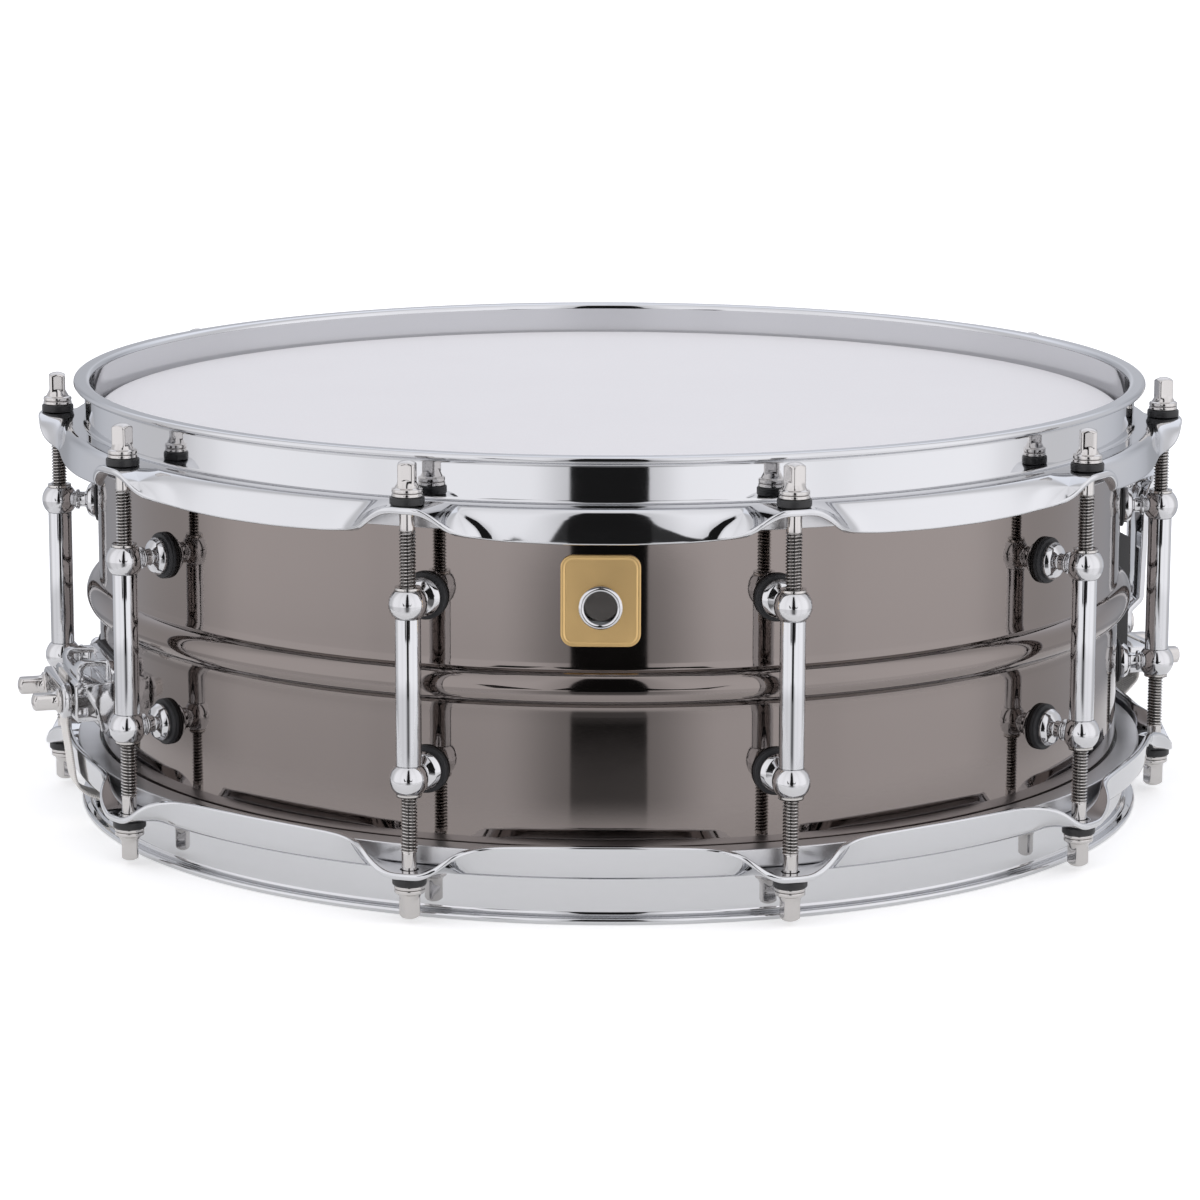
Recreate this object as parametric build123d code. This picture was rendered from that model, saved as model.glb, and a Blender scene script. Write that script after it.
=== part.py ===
from build123d import *
import math
import os

# 14 x 5 inch metal snare drum, millimetres.
# Origin: on the drum's axis, half way up the shell. +Z up (batter side).
# A "station" is built on the -Y side of the drum and turned about Z to its azimuth.
# In a station, "radius" is the distance from the drum's axis (y = -radius) and
# "side" runs along +X.

os.makedirs("parts", exist_ok=True)

# ---------------------------------------------------------------- driving sizes
SHELL_R = 177.6          # outer radius of the shell
SHELL_T = 1.2            # sheet thickness
SHELL_H = 127.0          # depth over the bearing edges
SHELL_TOP = SHELL_H / 2
BEAD_OUT = 4.4           # how far the centre bead stands out
BEAD_HALF = 6.0          # half height of the convex part of the bead
BEAD_BLEND = 9.6         # half height where the bead's fillets end

LUG_COUNT = 10
LUG_STEP = 360 / LUG_COUNT
LUG_FIRST = LUG_STEP / 2  # azimuth of the first lug
ROD_R = 192.5            # radius of the tension rod circle
POST_Z = 27.8            # height of each lug post above and below the middle
BALL_R = 6.1             # post head
BALL_CUT = 5.45          # half height of the flattened post head
TUBE_OD = 8.1
TUBE_ID = 6.9
TUBE_END = 26.0          # half length of a lug tube

HOOP_T = 2.2             # hoop sheet
LIP_Z = 74.2             # height of the hoop's lip
LIP_R = 185.1
WALL_R = 181.4
SKIRT_R = 189.2
SKIRT_Z = 47.5           # free edge of the skirt
EAR_Z = 59.0             # washer face of the ears
EAR_BACK = EAR_Z - HOOP_T
EAR_R = 200.0
EAR_W = 14.0
FILM_T = 0.3             # drumhead film

ROD_THREAD_R = 2.65
ROD_SHANK_R = 2.45
ROD_LENGTH = 42.0        # under the head
NYLON_T = 2.5            # washers under the rod head
METAL_T = 1.2
KEY_AF = 5.4             # square drive
KEY_CORNER = 0.9
HEAD_Z = 72.8            # tip of the key head

VENT_Z = 26.0
BADGE_Z = 28.0
BADGE_W = 25.0
BADGE_H = 29.0
BADGE_T = 0.8

BUTT_AZ = -72.0
STRAINER_AZ = BUTT_AZ + 180
STRAP_W = 13.0
STRAP_T = 1.0
WIRE_COUNT = 20
WIRE_R = 1.0
WIRE_PITCH = 2.4
WIRE_LENGTH = 294

BUTT_FACE = 193.0        # radius of the butt's strap anvil
STRAINER_FACE = 200.0    # radius of the slider's strap anvil
CLAMP_SIDE = 13.5        # clamp screws either side of the strap
CLAMP_SCREW_R = 1.95
BUTT_CLAMP_Z = -28.0
STRAINER_CLAMP_Z = -36.6
BUTT_SCREWS = [(-8.0, -28.0), (8.0, -28.0)]     # (side, z)
STRAINER_SCREWS = [(0.0, 17.0), (0.0, -37.0)]
# azimuth, screw places, radius of the screw tips
MOUNTS = [(BUTT_AZ, BUTT_SCREWS, 187.5), (STRAINER_AZ, STRAINER_SCREWS, 185.2)]
MOUNT_HOLE_R = 2.6       # through shell and gasket
MOUNT_BORE_R = 2.02      # in the base casting
MOUNT_GASKET_T = 1.0

PIVOT_Z = -26.0          # lever pivot
PIVOT_R = 2.5
KNOB_R = 192.4           # radius at which the tension screw stands
KNOB_STEM_R = 1.9
KNOB_GROOVES = 24

FIT = 0.05               # radial running clearance
GAP = 0.05               # clearance between faces that bear on one another
SKIN_CLEAR = 0.03        # clearance of curved pieces lying on the shell
MOUNT_FACE = SHELL_R + MOUNT_GASKET_T + GAP     # back of the butt and strainer bases
SIDES = (-1, 1)


# --------------------------------------------------------------------- helpers
def ring(outline):
    """Solid of revolution about Z from (radius, z) points."""
    face = make_face(Polyline(*[(radius, 0, z) for radius, z in outline], close=True))
    return revolve(face, axis=Axis.Z, revolution_arc=360)


def turned(outline, z=0.0, side=0.0):
    """Solid of revolution about a station's radial line.

    Points are (distance from that line, radius)."""
    face = make_face(Polyline(*[(across, -radius, 0) for across, radius in outline], close=True))
    return Pos(side, 0, z) * revolve(face, axis=Axis.Y, revolution_arc=360)


def slab(outline, half, side=0.0):
    """(radius, z) outline, thickened +-half along side."""
    face = make_face(Polyline(*[(side, -radius, z) for radius, z in outline], close=True))
    return extrude(face, amount=half, dir=(1, 0, 0), both=True)


def plate(outline, inner, outer):
    """(side, z) outline, from radius inner out to radius outer."""
    face = make_face(Polyline(*[(side, -inner, z) for side, z in outline], close=True))
    return extrude(face, amount=outer - inner, dir=(0, -1, 0))


def radial_prism(sketch, inner, outer, z, side):
    start = Plane(origin=(side, -inner, z), x_dir=(1, 0, 0), z_dir=(0, -1, 0))
    return extrude(start * sketch, amount=outer - inner)


def pad(width, height, corner, inner, outer, z=0.0, side=0.0):
    """Rounded rectangle, from radius inner out to radius outer."""
    return radial_prism(RectangleRounded(width, height, corner), inner, outer, z, side)


def peg(size, inner, outer, z=0.0, side=0.0):
    """Cylinder of radius size along a radial line of the station."""
    return radial_prism(Circle(size), inner, outer, z, side)


def upright(size, bottom, top, radius=0.0):
    """Cylinder of radius size along Z, standing at the given station radius."""
    return extrude(Plane(origin=(0, -radius, bottom)) * Circle(size), amount=top - bottom)


def offset_line(line, distance):
    """The line moved to its right by distance, with mitred corners."""
    normals = []
    for (x0, z0), (x1, z1) in zip(line, line[1:]):
        length = math.hypot(x1 - x0, z1 - z0)
        normals.append(((z1 - z0) / length, -(x1 - x0) / length))
    moved = []
    for i, (x, z) in enumerate(line):
        before = normals[max(i - 1, 0)]
        after = normals[min(i, len(normals) - 1)]
        miter_x = before[0] + after[0]
        miter_z = before[1] + after[1]
        scale = 2.0 / (miter_x * miter_x + miter_z * miter_z)
        moved.append((x + distance * miter_x * scale, z + distance * miter_z * scale))
    return moved


def sheet(line, thickness):
    """Closed outline of a sheet lying to the right of the line."""
    return list(line) + offset_line(line, thickness)[::-1]


def at(azimuth, body):
    return Rot(0, 0, azimuth) * body


def around(body):
    """A copy at every lug azimuth."""
    return [at(LUG_FIRST + LUG_STEP * i, body) for i in range(LUG_COUNT)]


def flip(body):
    """The same piece on the snare side."""
    return mirror(body, about=Plane.XY)


def around_both(body):
    """A copy at every lug azimuth, on both halves of the drum."""
    return around(body) + around(flip(body))


def flat_washer(bore, rim, inner, outer, z, side=0.0):
    return turned([(bore, inner), (rim, inner), (rim, outer), (bore, outer)], z, side)


def cross_screw(outline, slot_width, slot_length, z, side=0.0):
    """Screw turned from its outline, cross-slotted in the head inside the shell."""
    body = turned(outline, z, side)
    centre = Pos(side, -outline[0][1], z)
    body = body - centre * Box(slot_width, 1.8, slot_length)
    return body - centre * Box(slot_length, 1.8, slot_width)


def save(name, items):
    """Write all solids of one body, or of a list of bodies, to one file."""
    if not isinstance(items, (list, tuple)):
        items = [items]
    solids = [solid for item in items for solid in item.solids()]
    export_step(solids[0] if len(solids) == 1 else Compound(solids), f"parts/{name}.step")


# ----------------------------------------------------------------------- shell
def bead_line():
    """Outer face of the shell from the lower to the upper bend of the bead."""
    points = [(SHELL_R, -BEAD_BLEND)]
    fillet_h = BEAD_BLEND - BEAD_HALF
    fillet_out = fillet_h * 0.36
    for i in range(1, 4):
        angle = math.pi / 2 * i / 3
        points.append((SHELL_R + fillet_out * (1 - math.cos(angle)),
                       -BEAD_BLEND + fillet_h * math.sin(angle)))
    lower_fillet = list(points)
    base = points[-1][0]
    crown = SHELL_R + BEAD_OUT - base
    for i in range(1, 10):
        angle = -math.pi / 2 + math.pi * i / 10
        points.append((base + crown * math.cos(angle), BEAD_HALF * math.sin(angle)))
    return points + [(radius, -z) for radius, z in reversed(lower_fillet)]


def make_shell():
    # upper bearing edge, (radius, z), from the outer face over the crest and inward
    edge = [(SHELL_R, SHELL_TOP - 3.0), (SHELL_R - 0.35, SHELL_TOP - 1.6),
            (SHELL_R - 1.2, SHELL_TOP - 0.5), (SHELL_R - 2.4, SHELL_TOP),
            (SHELL_R - 3.6, SHELL_TOP - 0.5), (SHELL_R - 6.6, SHELL_TOP - 3.6)]
    line = [(radius, -z) for radius, z in reversed(edge)] + bead_line() + edge
    # the line runs upward with the sheet on its left, so reverse it
    body = ring(sheet(line[::-1], SHELL_T))

    inner = SHELL_R - 4
    cuts = []
    for z in (POST_Z, -POST_Z):
        cuts += around(peg(2.4, inner, SHELL_R + 4, z))
    cuts.append(peg(5.8, inner, SHELL_R + 4, VENT_Z))
    for azimuth, places, _ in MOUNTS:
        for side, z in places:
            cuts.append(at(azimuth, peg(MOUNT_HOLE_R, inner, SHELL_R + 5, z, side)))
    return body - cuts


save("shell", make_shell())

# -------------------------------------------------------------- badge and vent
badge_in = SHELL_R + SKIN_CLEAR
badge_out = badge_in + BADGE_T
badge_skin = ring([(badge_in, VENT_Z - 30), (badge_out, VENT_Z - 30),
                   (badge_out, VENT_Z + 30), (badge_in, VENT_Z + 30)])
badge = pad(BADGE_W, BADGE_H, 4.0, 150, 190, BADGE_Z) & badge_skin
save("vent_badge", badge - peg(5.75, 150, 200, VENT_Z))

flange = badge_out + GAP     # inner face of the grommet's outer flange
save("vent_grommet", turned([
    (5.1, 173.6), (6.3, 173.6), (6.3, 174.25), (5.7, 174.25), (5.7, flange),
    (6.9, flange), (6.9, flange + 0.7), (6.5, flange + 1.25), (5.8, flange + 1.45),
    (5.3, flange + 1.2), (5.1, flange + 0.7)], VENT_Z))
save("vent_washer", flat_washer(5.75, 8.0, 174.3, 176.15, VENT_Z))

# ------------------------------------------------------------------------ lugs
GASKET_OUT = 179.5       # outer face of a lug gasket
POST_FOOT = GASKET_OUT + GAP


def lug_post():
    """Turned post with a ball head flattened top and bottom, bored for the tube."""
    # (distance from the post's axis, radius): foot, neck and collar
    outline = [(2.0, POST_FOOT), (6.2, POST_FOOT), (6.2, 180.7), (5.7, 181.7), (4.5, 182.6),
               (2.9, 183.2), (2.7, 183.6), (2.7, 185.5), (3.3, 185.7), (3.5, 186.1),
               (3.3, 186.5), (2.9, 186.7)]
    # blend from the neck to the ball
    for i in range(1, 4):
        rise = 1.3 * i / 4
        outline.append((2.9 + rise, 186.7 + rise))
    sweep = math.pi - math.asin(4.25 / BALL_R)
    for i in range(14):
        angle = sweep - sweep * i / 14
        outline.append((BALL_R * math.sin(angle), ROD_R + BALL_R * math.cos(angle)))
    outline.append((0.0, ROD_R + BALL_R))
    # blind screw bore
    outline += [(0.0, 187.8), (2.0, 187.8)]
    body = turned(outline)
    head_zone = Pos(0, -189.5, 0) * Box(16, 20, 2 * BALL_CUT)
    base_zone = Pos(0, -182.0, 0) * Box(16, 7.2, 16)
    body = (body & head_zone) + (body & base_zone)
    body = body - upright(TUBE_OD / 2 + 0.03, -8, 8, ROD_R)
    return Pos(0, 0, POST_Z) * body


save("lug_posts", around_both(lug_post()))

tube = upright(TUBE_OD / 2, -TUBE_END, TUBE_END, ROD_R)
tube = tube - upright(TUBE_ID / 2, -TUBE_END - 1, TUBE_END + 1, ROD_R)
save("lug_tubes", around(tube))

post_top = POST_Z + BALL_CUT
insert = upright(TUBE_OD / 2, TUBE_END + GAP, post_top - 0.1, ROD_R)
insert = insert - upright(ROD_THREAD_R + FIT, TUBE_END - 1, post_top + 1, ROD_R)
save("lug_inserts", around_both(insert))

# fits every gasket's back to the shell
shell_core = upright(SHELL_R + SKIN_CLEAR, -60, 60)
lug_gasket = turned([(2.3, 176.0), (7.4, 176.0), (7.4, 179.1), (6.9, GASKET_OUT),
                     (2.3, GASKET_OUT)], POST_Z)
save("lug_gaskets", around_both(lug_gasket - shell_core))

lug_screw = cross_screw([(0, 172.6), (2.6, 172.6), (3.5, 173.3), (3.5, 175.25),
                         (1.95, 175.25), (1.95, 187.2), (0, 187.2)], 0.9, 9, POST_Z)
save("lug_screws", around_both(lug_screw))
save("lug_washers", around_both(flat_washer(2.05, 4.5, 175.3, 176.3, POST_Z)))

# ----------------------------------------------------------------------- hoops
# (radius, z) section: lip, outer wall, ear ledge, skirt, and back up the inner face
HOOP_SECTION = [
    (181.2, LIP_Z), (184.3, LIP_Z), (LIP_R, LIP_Z - 0.9), (184.7, LIP_Z - 2.0),
    (182.4, LIP_Z - 2.3), (WALL_R, LIP_Z - 3.5), (WALL_R, 61.2), (182.2, 59.6),
    (183.6, EAR_Z), (187.4, EAR_Z), (188.7, 58.3), (SKIRT_R, 56.9),
    (SKIRT_R, SKIRT_Z), (187.0, SKIRT_Z), (187.0, 56.0), (186.2, EAR_BACK),
    (181.4, EAR_BACK), (179.9, 57.6), (WALL_R - HOOP_T, 59.6), (WALL_R - HOOP_T, 72.2),
    (180.0, 73.8)]
# (side, z) upper face of the sheet rolling from the flat ear down into the skirt
WING_TOP = [(5.5, EAR_Z), (8.2, EAR_Z - 0.2), (10.6, EAR_Z - 1.9), (13.8, EAR_Z - 5.7),
            (16.8, EAR_Z - 8.7), (19.5, EAR_Z - 9.25)]
# (side, radius) plan of the same wing
WING_PLAN = [(5.0, 186.9), (5.0, EAR_R), (6.0, EAR_R), (9.5, 198.8), (12.5, 195.8),
             (15.5, 192.4), (18.0, 190.4), (21.0, 189.6), (21.0, 186.9)]
# (side, z) opening in the skirt under an ear
EAR_WINDOW = [(-8.6, 56.65), (8.6, 56.65), (13.0, 52.6), (18.0, 46.5), (-18.0, 46.5),
              (-13.0, 52.6)]


def wing(hand):
    """One side of an ear; hand is 1 for +side and -1 for -side."""
    body = plate([(hand * side, z) for side, z in sheet(WING_TOP, HOOP_T)], 187.4, 201)
    plan = [(hand * side, -radius, 40) for side, radius in WING_PLAN]
    return body & extrude(make_face(Polyline(*plan, close=True)), amount=25, dir=(0, 0, 1))


def make_hoop():
    body = ring(HOOP_SECTION)
    ear = extrude(Plane(origin=(0, -193.0, EAR_BACK)) * RectangleRounded(EAR_W, 14.0, 2.5),
                  amount=HOOP_T)
    body = body - around(plate(EAR_WINDOW, 186.2, 191))
    body = body + around(ear) + around(wing(1)) + around(wing(-1))
    return body - around(upright(3.0, 50, 62, ROD_R))


hoop = make_hoop()
save("batter_hoop", hoop)
# the snare hoop's wall has an opening above the butt and one above the strainer
gates = [at(azimuth, pad(26, 9.4, 2.0, 176, 184, 66.5)) for azimuth in (BUTT_AZ, STRAINER_AZ)]
save("snare_hoop", flip(hoop - gates))

# ----------------------------------------------------------------------- heads
flesh_top = EAR_BACK - GAP
flesh_hoop = ring([(178.35, 50.6), (185.6, 50.6), (185.9, 51.0), (185.9, 56.2),
                   (185.4, flesh_top), (181.8, flesh_top), (180.0, 56.3), (178.35, 55.6)])
save("batter_flesh_hoop", flesh_hoop)
save("snare_flesh_hoop", flip(flesh_hoop))

film_z = SHELL_TOP + GAP       # inner face of the film
film_top = film_z + FILM_T
# (radius, z): outer face from the centre outward, then back along the inner face
film = ring([(0.0, film_top), (175.5, film_top), (176.9, film_z - 0.25),
             (177.75, film_z - 1.3), (178.08, film_z - 2.9), (178.08, 51.2),
             (177.78, 51.2), (177.78, film_z - 2.9), (177.45, film_z - 1.45),
             (176.75, film_z - 0.5), (175.45, film_z), (0.0, film_z)])
save("batter_film", film)
save("snare_film", flip(film))

# ---------------------------------------------------------------- tension rods
nylon_z = EAR_Z + GAP
metal_z = nylon_z + NYLON_T + GAP
head_z = metal_z + METAL_T + GAP    # underside of the rod head

# angle of each square head about Z
BATTER_SPIN = [42, 3, 18, 70, 50, 12, 65, 10, -30, -7]
SNARE_SPIN = [20, 38, 25, 60, 15, 40, 75, 35, 5, 30]


def make_rod():
    """Batter-side rod standing on the Z axis."""
    tip_z = head_z - ROD_LENGTH
    # (radius, z): thread, shank, collar and cone
    body = ring([(0, tip_z), (ROD_THREAD_R - 0.7, tip_z), (ROD_THREAD_R, tip_z + 0.8),
                 (ROD_THREAD_R, 51.0), (ROD_SHANK_R, 51.3), (ROD_SHANK_R, head_z),
                 (4.5, head_z), (4.8, head_z + 0.3), (4.8, head_z + 1.0),
                 (4.4, head_z + 1.35), (3.9, head_z + 1.6), (3.2, head_z + 2.6),
                 (2.7, head_z + 3.4), (0, head_z + 3.4)])
    square_z = head_z + 1.2
    square = extrude(Plane(origin=(0, 0, square_z))
                     * RectangleRounded(KEY_AF, KEY_AF, KEY_CORNER), amount=HEAD_Z - square_z)
    dome = ring([(0, head_z), (6, head_z), (6, HEAD_Z - 3.2), (3.9, HEAD_Z - 2.0),
                 (3.1, HEAD_Z - 0.9), (2.2, HEAD_Z - 0.25), (1.2, HEAD_Z), (0, HEAD_Z)])
    return body + (square & dome)


rod = make_rod()
for name, spins, body in (("batter", BATTER_SPIN, rod), ("snare", SNARE_SPIN, flip(rod))):
    for i, spin in enumerate(spins):
        azimuth = LUG_FIRST + LUG_STEP * i
        placed = Pos(0, -ROD_R, 0) * Rot(0, 0, spin - azimuth) * body
        save(f"{name}_rod_{i + 1:02d}", at(azimuth, placed))

# name, outer radius, lower face, thickness
for name, rim, bottom, thickness in (("nylon", 5.45, nylon_z, NYLON_T),
                                     ("metal", 4.9, metal_z, METAL_T)):
    top = bottom + thickness
    washer = upright(rim, bottom, top, ROD_R) - upright(2.75, bottom - 1, top + 1, ROD_R)
    save(f"batter_{name}_washers", around(washer))
    save(f"snare_{name}_washers", around(flip(washer)))

# --------------------------------------------------------------- snare strands
wire_z = -film_top - 0.1 - WIRE_R       # centre height of the strands
end_plate_z = wire_z - WIRE_R - 0.03    # upper face of the end plates
END_PLATE_T = 0.8

wires = []
for i in range(WIRE_COUNT):
    x = (i - (WIRE_COUNT - 1) / 2) * WIRE_PITCH
    start = Plane(origin=(x, -WIRE_LENGTH / 2, wire_z), x_dir=(1, 0, 0), z_dir=(0, 1, 0))
    wires.append(at(BUTT_AZ, extrude(start * Circle(WIRE_R), amount=WIRE_LENGTH)))
save("snare_wires", wires)

end_plate = (Pos(0, -150, end_plate_z - END_PLATE_T / 2)
             * Box(WIRE_COUNT * WIRE_PITCH + 3, 18, END_PLATE_T))
end_plate = fillet(end_plate.edges().filter_by(Axis.Z), 2.5)
save("snare_end_plates", [at(BUTT_AZ, end_plate), at(STRAINER_AZ, end_plate)])


def strap(anvil, top, straight_end, bend_z):
    """Flat strap from its clamp, past the skirt, in under the hoop to its end plate."""
    clamped = anvil + GAP + STRAP_T / 2
    flat_z = end_plate_z + GAP + STRAP_T / 2
    # (radius, z) centre line
    middle = [(clamped, top), (clamped, straight_end),
              (191.6 + (clamped - 191.6) * 0.35, bend_z), (191.2, -57.2), (190.0, -60.6),
              (187.0, -63.0), (181.5, -65.0), (176.0, flat_z), (150.0, flat_z)]
    outline = offset_line(middle, STRAP_T / 2) + offset_line(middle, -STRAP_T / 2)[::-1]
    return slab(outline, STRAP_W / 2)


save("butt_strap", at(BUTT_AZ, strap(BUTT_FACE, -20.5, -39.0, -48.0)))
save("strainer_strap", at(STRAINER_AZ, strap(STRAINER_FACE, -31.9, -46.5, -52.5)))


# ---------------------------------------------------------------- strap clamps
def key_screw(seat, z, side, depth, head_len):
    """Square-headed clamp screw; the collar bears at radius seat."""
    tip = seat - depth
    body = turned([(0, tip), (1.5, tip), (CLAMP_SCREW_R, tip + 0.5), (CLAMP_SCREW_R, seat),
                   (4.0, seat), (4.2, seat + 0.3), (4.2, seat + 0.9), (3.6, seat + 1.4),
                   (2.6, seat + 2.2), (0, seat + 2.2)], z, side)
    end = seat + head_len
    square = pad(KEY_AF, KEY_AF, KEY_CORNER, seat + 1.0, end + 1.4, z, side)
    dome = turned([(0, seat), (6, seat), (6, end - 1.0), (3.7, end), (2.9, end + 0.8),
                   (1.6, end + 1.4), (0, end + 1.4)], z, side)
    return body + (square & dome)


def bore_clamp_holes(body, inner, outer, z):
    for hand in SIDES:
        body = body - peg(CLAMP_SCREW_R + FIT, inner, outer, z, hand * CLAMP_SIDE)
    return body


def save_clamp(name, azimuth, anvil, height, corner, plate_z, screw_z, depth, head_len):
    """Clamp plate over a strap, and its two screws."""
    inner = anvil + STRAP_T + 2 * GAP
    outer = inner + 3.0
    body = pad(39.0, height, corner, inner, outer, plate_z)
    body = chamfer(body.faces().sort_by(Axis.Y)[0].edges(), 0.5)
    body = bore_clamp_holes(body, inner - 1, inner + 5, screw_z)
    save(f"{name}_clamp_plate", at(azimuth, body))
    for number, side in ((1, CLAMP_SIDE), (2, -CLAMP_SIDE)):
        screw = key_screw(outer + GAP, screw_z, side, depth, head_len)
        save(f"{name}_clamp_screw_{number}", at(azimuth, screw))


save_clamp("butt", BUTT_AZ, BUTT_FACE, height=11.6, corner=4.6, plate_z=-28.0,
           screw_z=BUTT_CLAMP_Z, depth=12.0, head_len=8.4)
save_clamp("strainer", STRAINER_AZ, STRAINER_FACE, height=9.2, corner=4.0, plate_z=-36.8,
           screw_z=STRAINER_CLAMP_Z, depth=11.0, head_len=7.3)


# ------------------------------------------------------------------------ butt
def bore_mount_holes(body, size, places, inner, outer):
    for side, z in places:
        body = body - peg(size, inner, outer, z, side)
    return body


butt_gasket = pad(38, 29, 4, 174, SHELL_R + MOUNT_GASKET_T, -28.5) - shell_core
butt_gasket = bore_mount_holes(butt_gasket, MOUNT_HOLE_R, BUTT_SCREWS, 170, 185)
save("butt_gasket", at(BUTT_AZ, butt_gasket))


def butt_base():
    foot = MOUNT_FACE + 1      # blocks start inside the back plate
    floor = MOUNT_FACE + 3.0   # inner wall of the channel
    flank = 17.5               # half width of the strap block
    body = pad(36, 27, 4, MOUNT_FACE, MOUNT_FACE + 2.4, -28.5)
    # strap block
    body = body + slab([(foot, -35.0), (BUTT_FACE - 1.0, -35.0), (BUTT_FACE, -34.0),
                        (BUTT_FACE, -22.5), (BUTT_FACE - 0.8, -21.6), (foot, -21.6)], flank)
    # upper bridge
    body = body + slab([(foot, -23.0), (191.0, -23.0), (191.4, -18.0), (190.4, -16.0),
                        (188.5, -15.3), (foot, -15.3)], 14.0)
    # through channel of the bridge
    body = body - slab([(floor, -22.0), (188.4, -22.0), (189.2, -21.2), (189.2, -18.0),
                        (188.0, -16.9), (floor, -16.9)], 30)
    # saddle between the two cheeks of the bridge
    body = body - plate([(-9.5, -12.0), (9.5, -12.0), (9.5, -15.6), (8.0, -17.4),
                         (5.5, -18.0), (-5.5, -18.0), (-8.0, -17.4), (-9.5, -15.6)],
                        MOUNT_FACE + 2.4, 195)
    # core pockets and a fin on each flank of the strap block
    fin = [(foot, -21.6), (188.6, -22.6), (189.4, -24.4), (185.6, -31.0), (184.2, -38.6),
           (182.6, -39.2), (foot, -35.0)]
    for hand in SIDES:
        for radius in (184.3, 190.3):
            for z in (-25.0, -31.6):
                body = body - Pos(hand * flank, -radius, z) * Box(3.0, 3.0, 2.6)
        body = body + slab(fin, 1.0, hand * flank)
    body = bore_mount_holes(body, MOUNT_BORE_R, BUTT_SCREWS, 176, 188.0)
    return bore_clamp_holes(body, 184.0, 196, BUTT_CLAMP_Z)


save("butt_base", at(BUTT_AZ, butt_base()))

# -------------------------------------------------------------------- strainer
gasket_out = SHELL_R + MOUNT_GASKET_T
strainer_gasket = pad(32, 15, 3, 174, gasket_out, 18.5) + pad(32, 31, 3, 174, gasket_out, -28.0)
strainer_gasket = bore_mount_holes(strainer_gasket - shell_core, MOUNT_HOLE_R,
                                   STRAINER_SCREWS, 170, 185)
save("strainer_gasket", at(STRAINER_AZ, strainer_gasket))


def strainer_base():
    # body, stepped back over the shell's bead
    body = slab([(MOUNT_FACE, 25.6), (MOUNT_FACE, 11.4), (182.8, 10.0), (182.8, -10.0),
                 (MOUNT_FACE, -11.4), (MOUNT_FACE, -43.2), (182.2, -43.8), (187.4, -42.0),
                 (187.6, 12.0), (187.2, 13.0), (187.0, 22.4), (185.6, 24.2), (183.6, 25.6)],
                15.6)
    # side rails that hold the slider plate
    for hand in SIDES:
        body = body + slab([(186.0, -42.0), (191.6, -40.0), (191.6, 8.0), (186.0, 11.0)],
                           0.9, hand * 14.7)
    # top bracket for the tension screw
    body = body + slab([(186.0, 15.4), (196.4, 15.8), (197.0, 16.6), (197.0, 20.4),
                        (196.0, 21.4), (186.0, 22.4)], 7.0)
    # pivot boss
    body = body + peg(4.0, 186.0, 195.4, PIVOT_Z)
    body = body - upright(KNOB_STEM_R + FIT, 10, 30, KNOB_R)
    body = body - peg(PIVOT_R + FIT, 184.2, 199, PIVOT_Z)
    return bore_mount_holes(body, MOUNT_BORE_R, STRAINER_SCREWS, 176, 185.6)


def strainer_slider():
    body = slab([(187.7, -41.5), (190.2, -41.5), (190.2, 6.0), (187.7, 6.0)], 13.7)
    # lug for the tension screw
    body = body + slab([(188.0, 0.0), (195.6, 0.0), (196.0, 0.6), (196.0, 5.4),
                        (195.6, 6.0), (188.0, 6.0)], 5.0)
    # neck and strap block
    body = body + slab([(189.0, -41.5), (193.0, -41.5), (193.0, -32.2), (189.0, -32.2)], 13.2)
    body = body + slab([(192.0, -41.5), (199.2, -41.5), (STRAINER_FACE, -40.8),
                        (STRAINER_FACE, -32.9), (199.2, -32.2), (192.0, -32.2)], 17.5)
    # slot round the pivot boss
    body = body - pad(9.0, 13.6, 4.49, 180, 193, PIVOT_Z + 2.0)
    body = body - upright(KNOB_STEM_R + FIT, -2, 8, KNOB_R)
    return bore_clamp_holes(body, 192.0, 202, STRAINER_CLAMP_Z)


# (radius, z) inner face of the lever: hub, crank, standing arm, flared finger tip
LEVER_LINE = [(198.0, -31.4), (198.0, -21.35), (198.5, -20.7), (202.0, -17.9),
              (202.5, -16.8), (202.5, 17.0), (203.0, 20.0), (204.4, 23.4), (206.6, 26.6),
              (209.0, 28.9)]
# (side, z) right half of the lever's outline, bottom to top
LEVER_HALF = [(0, -31.4), (3.2, -30.6), (5.0, -28.6), (5.5, -26.0), (5.5, -15.0),
              (6.0, -6.0), (6.8, 4.0), (7.3, 14.0), (7.4, 20.0), (7.0, 24.0), (5.6, 27.2),
              (3.4, 29.2), (0, 30.0)]


def lever():
    # reversed, the line's right-hand side is the inner one
    body = slab(sheet(LEVER_LINE[::-1], 2.5), 7.5)
    mirrored = [(-side, z) for side, z in reversed(LEVER_HALF[1:-1])]
    body = body & plate(LEVER_HALF + mirrored, 190, 215)
    return body - peg(PIVOT_R + FIT, 190, 200, PIVOT_Z)


def pivot_screw():
    head_face = 199.95
    body = turned([(0, 184.4), (2.2, 184.4), (PIVOT_R, 184.8), (PIVOT_R, 198.05),
                   (4.6, 198.05), (4.6, 198.9), (4.0, 199.6), (2.6, head_face),
                   (0, head_face)], PIVOT_Z)
    return body - Pos(0, -head_face, PIVOT_Z) * Box(6.4, 1.6, 1.0)


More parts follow.
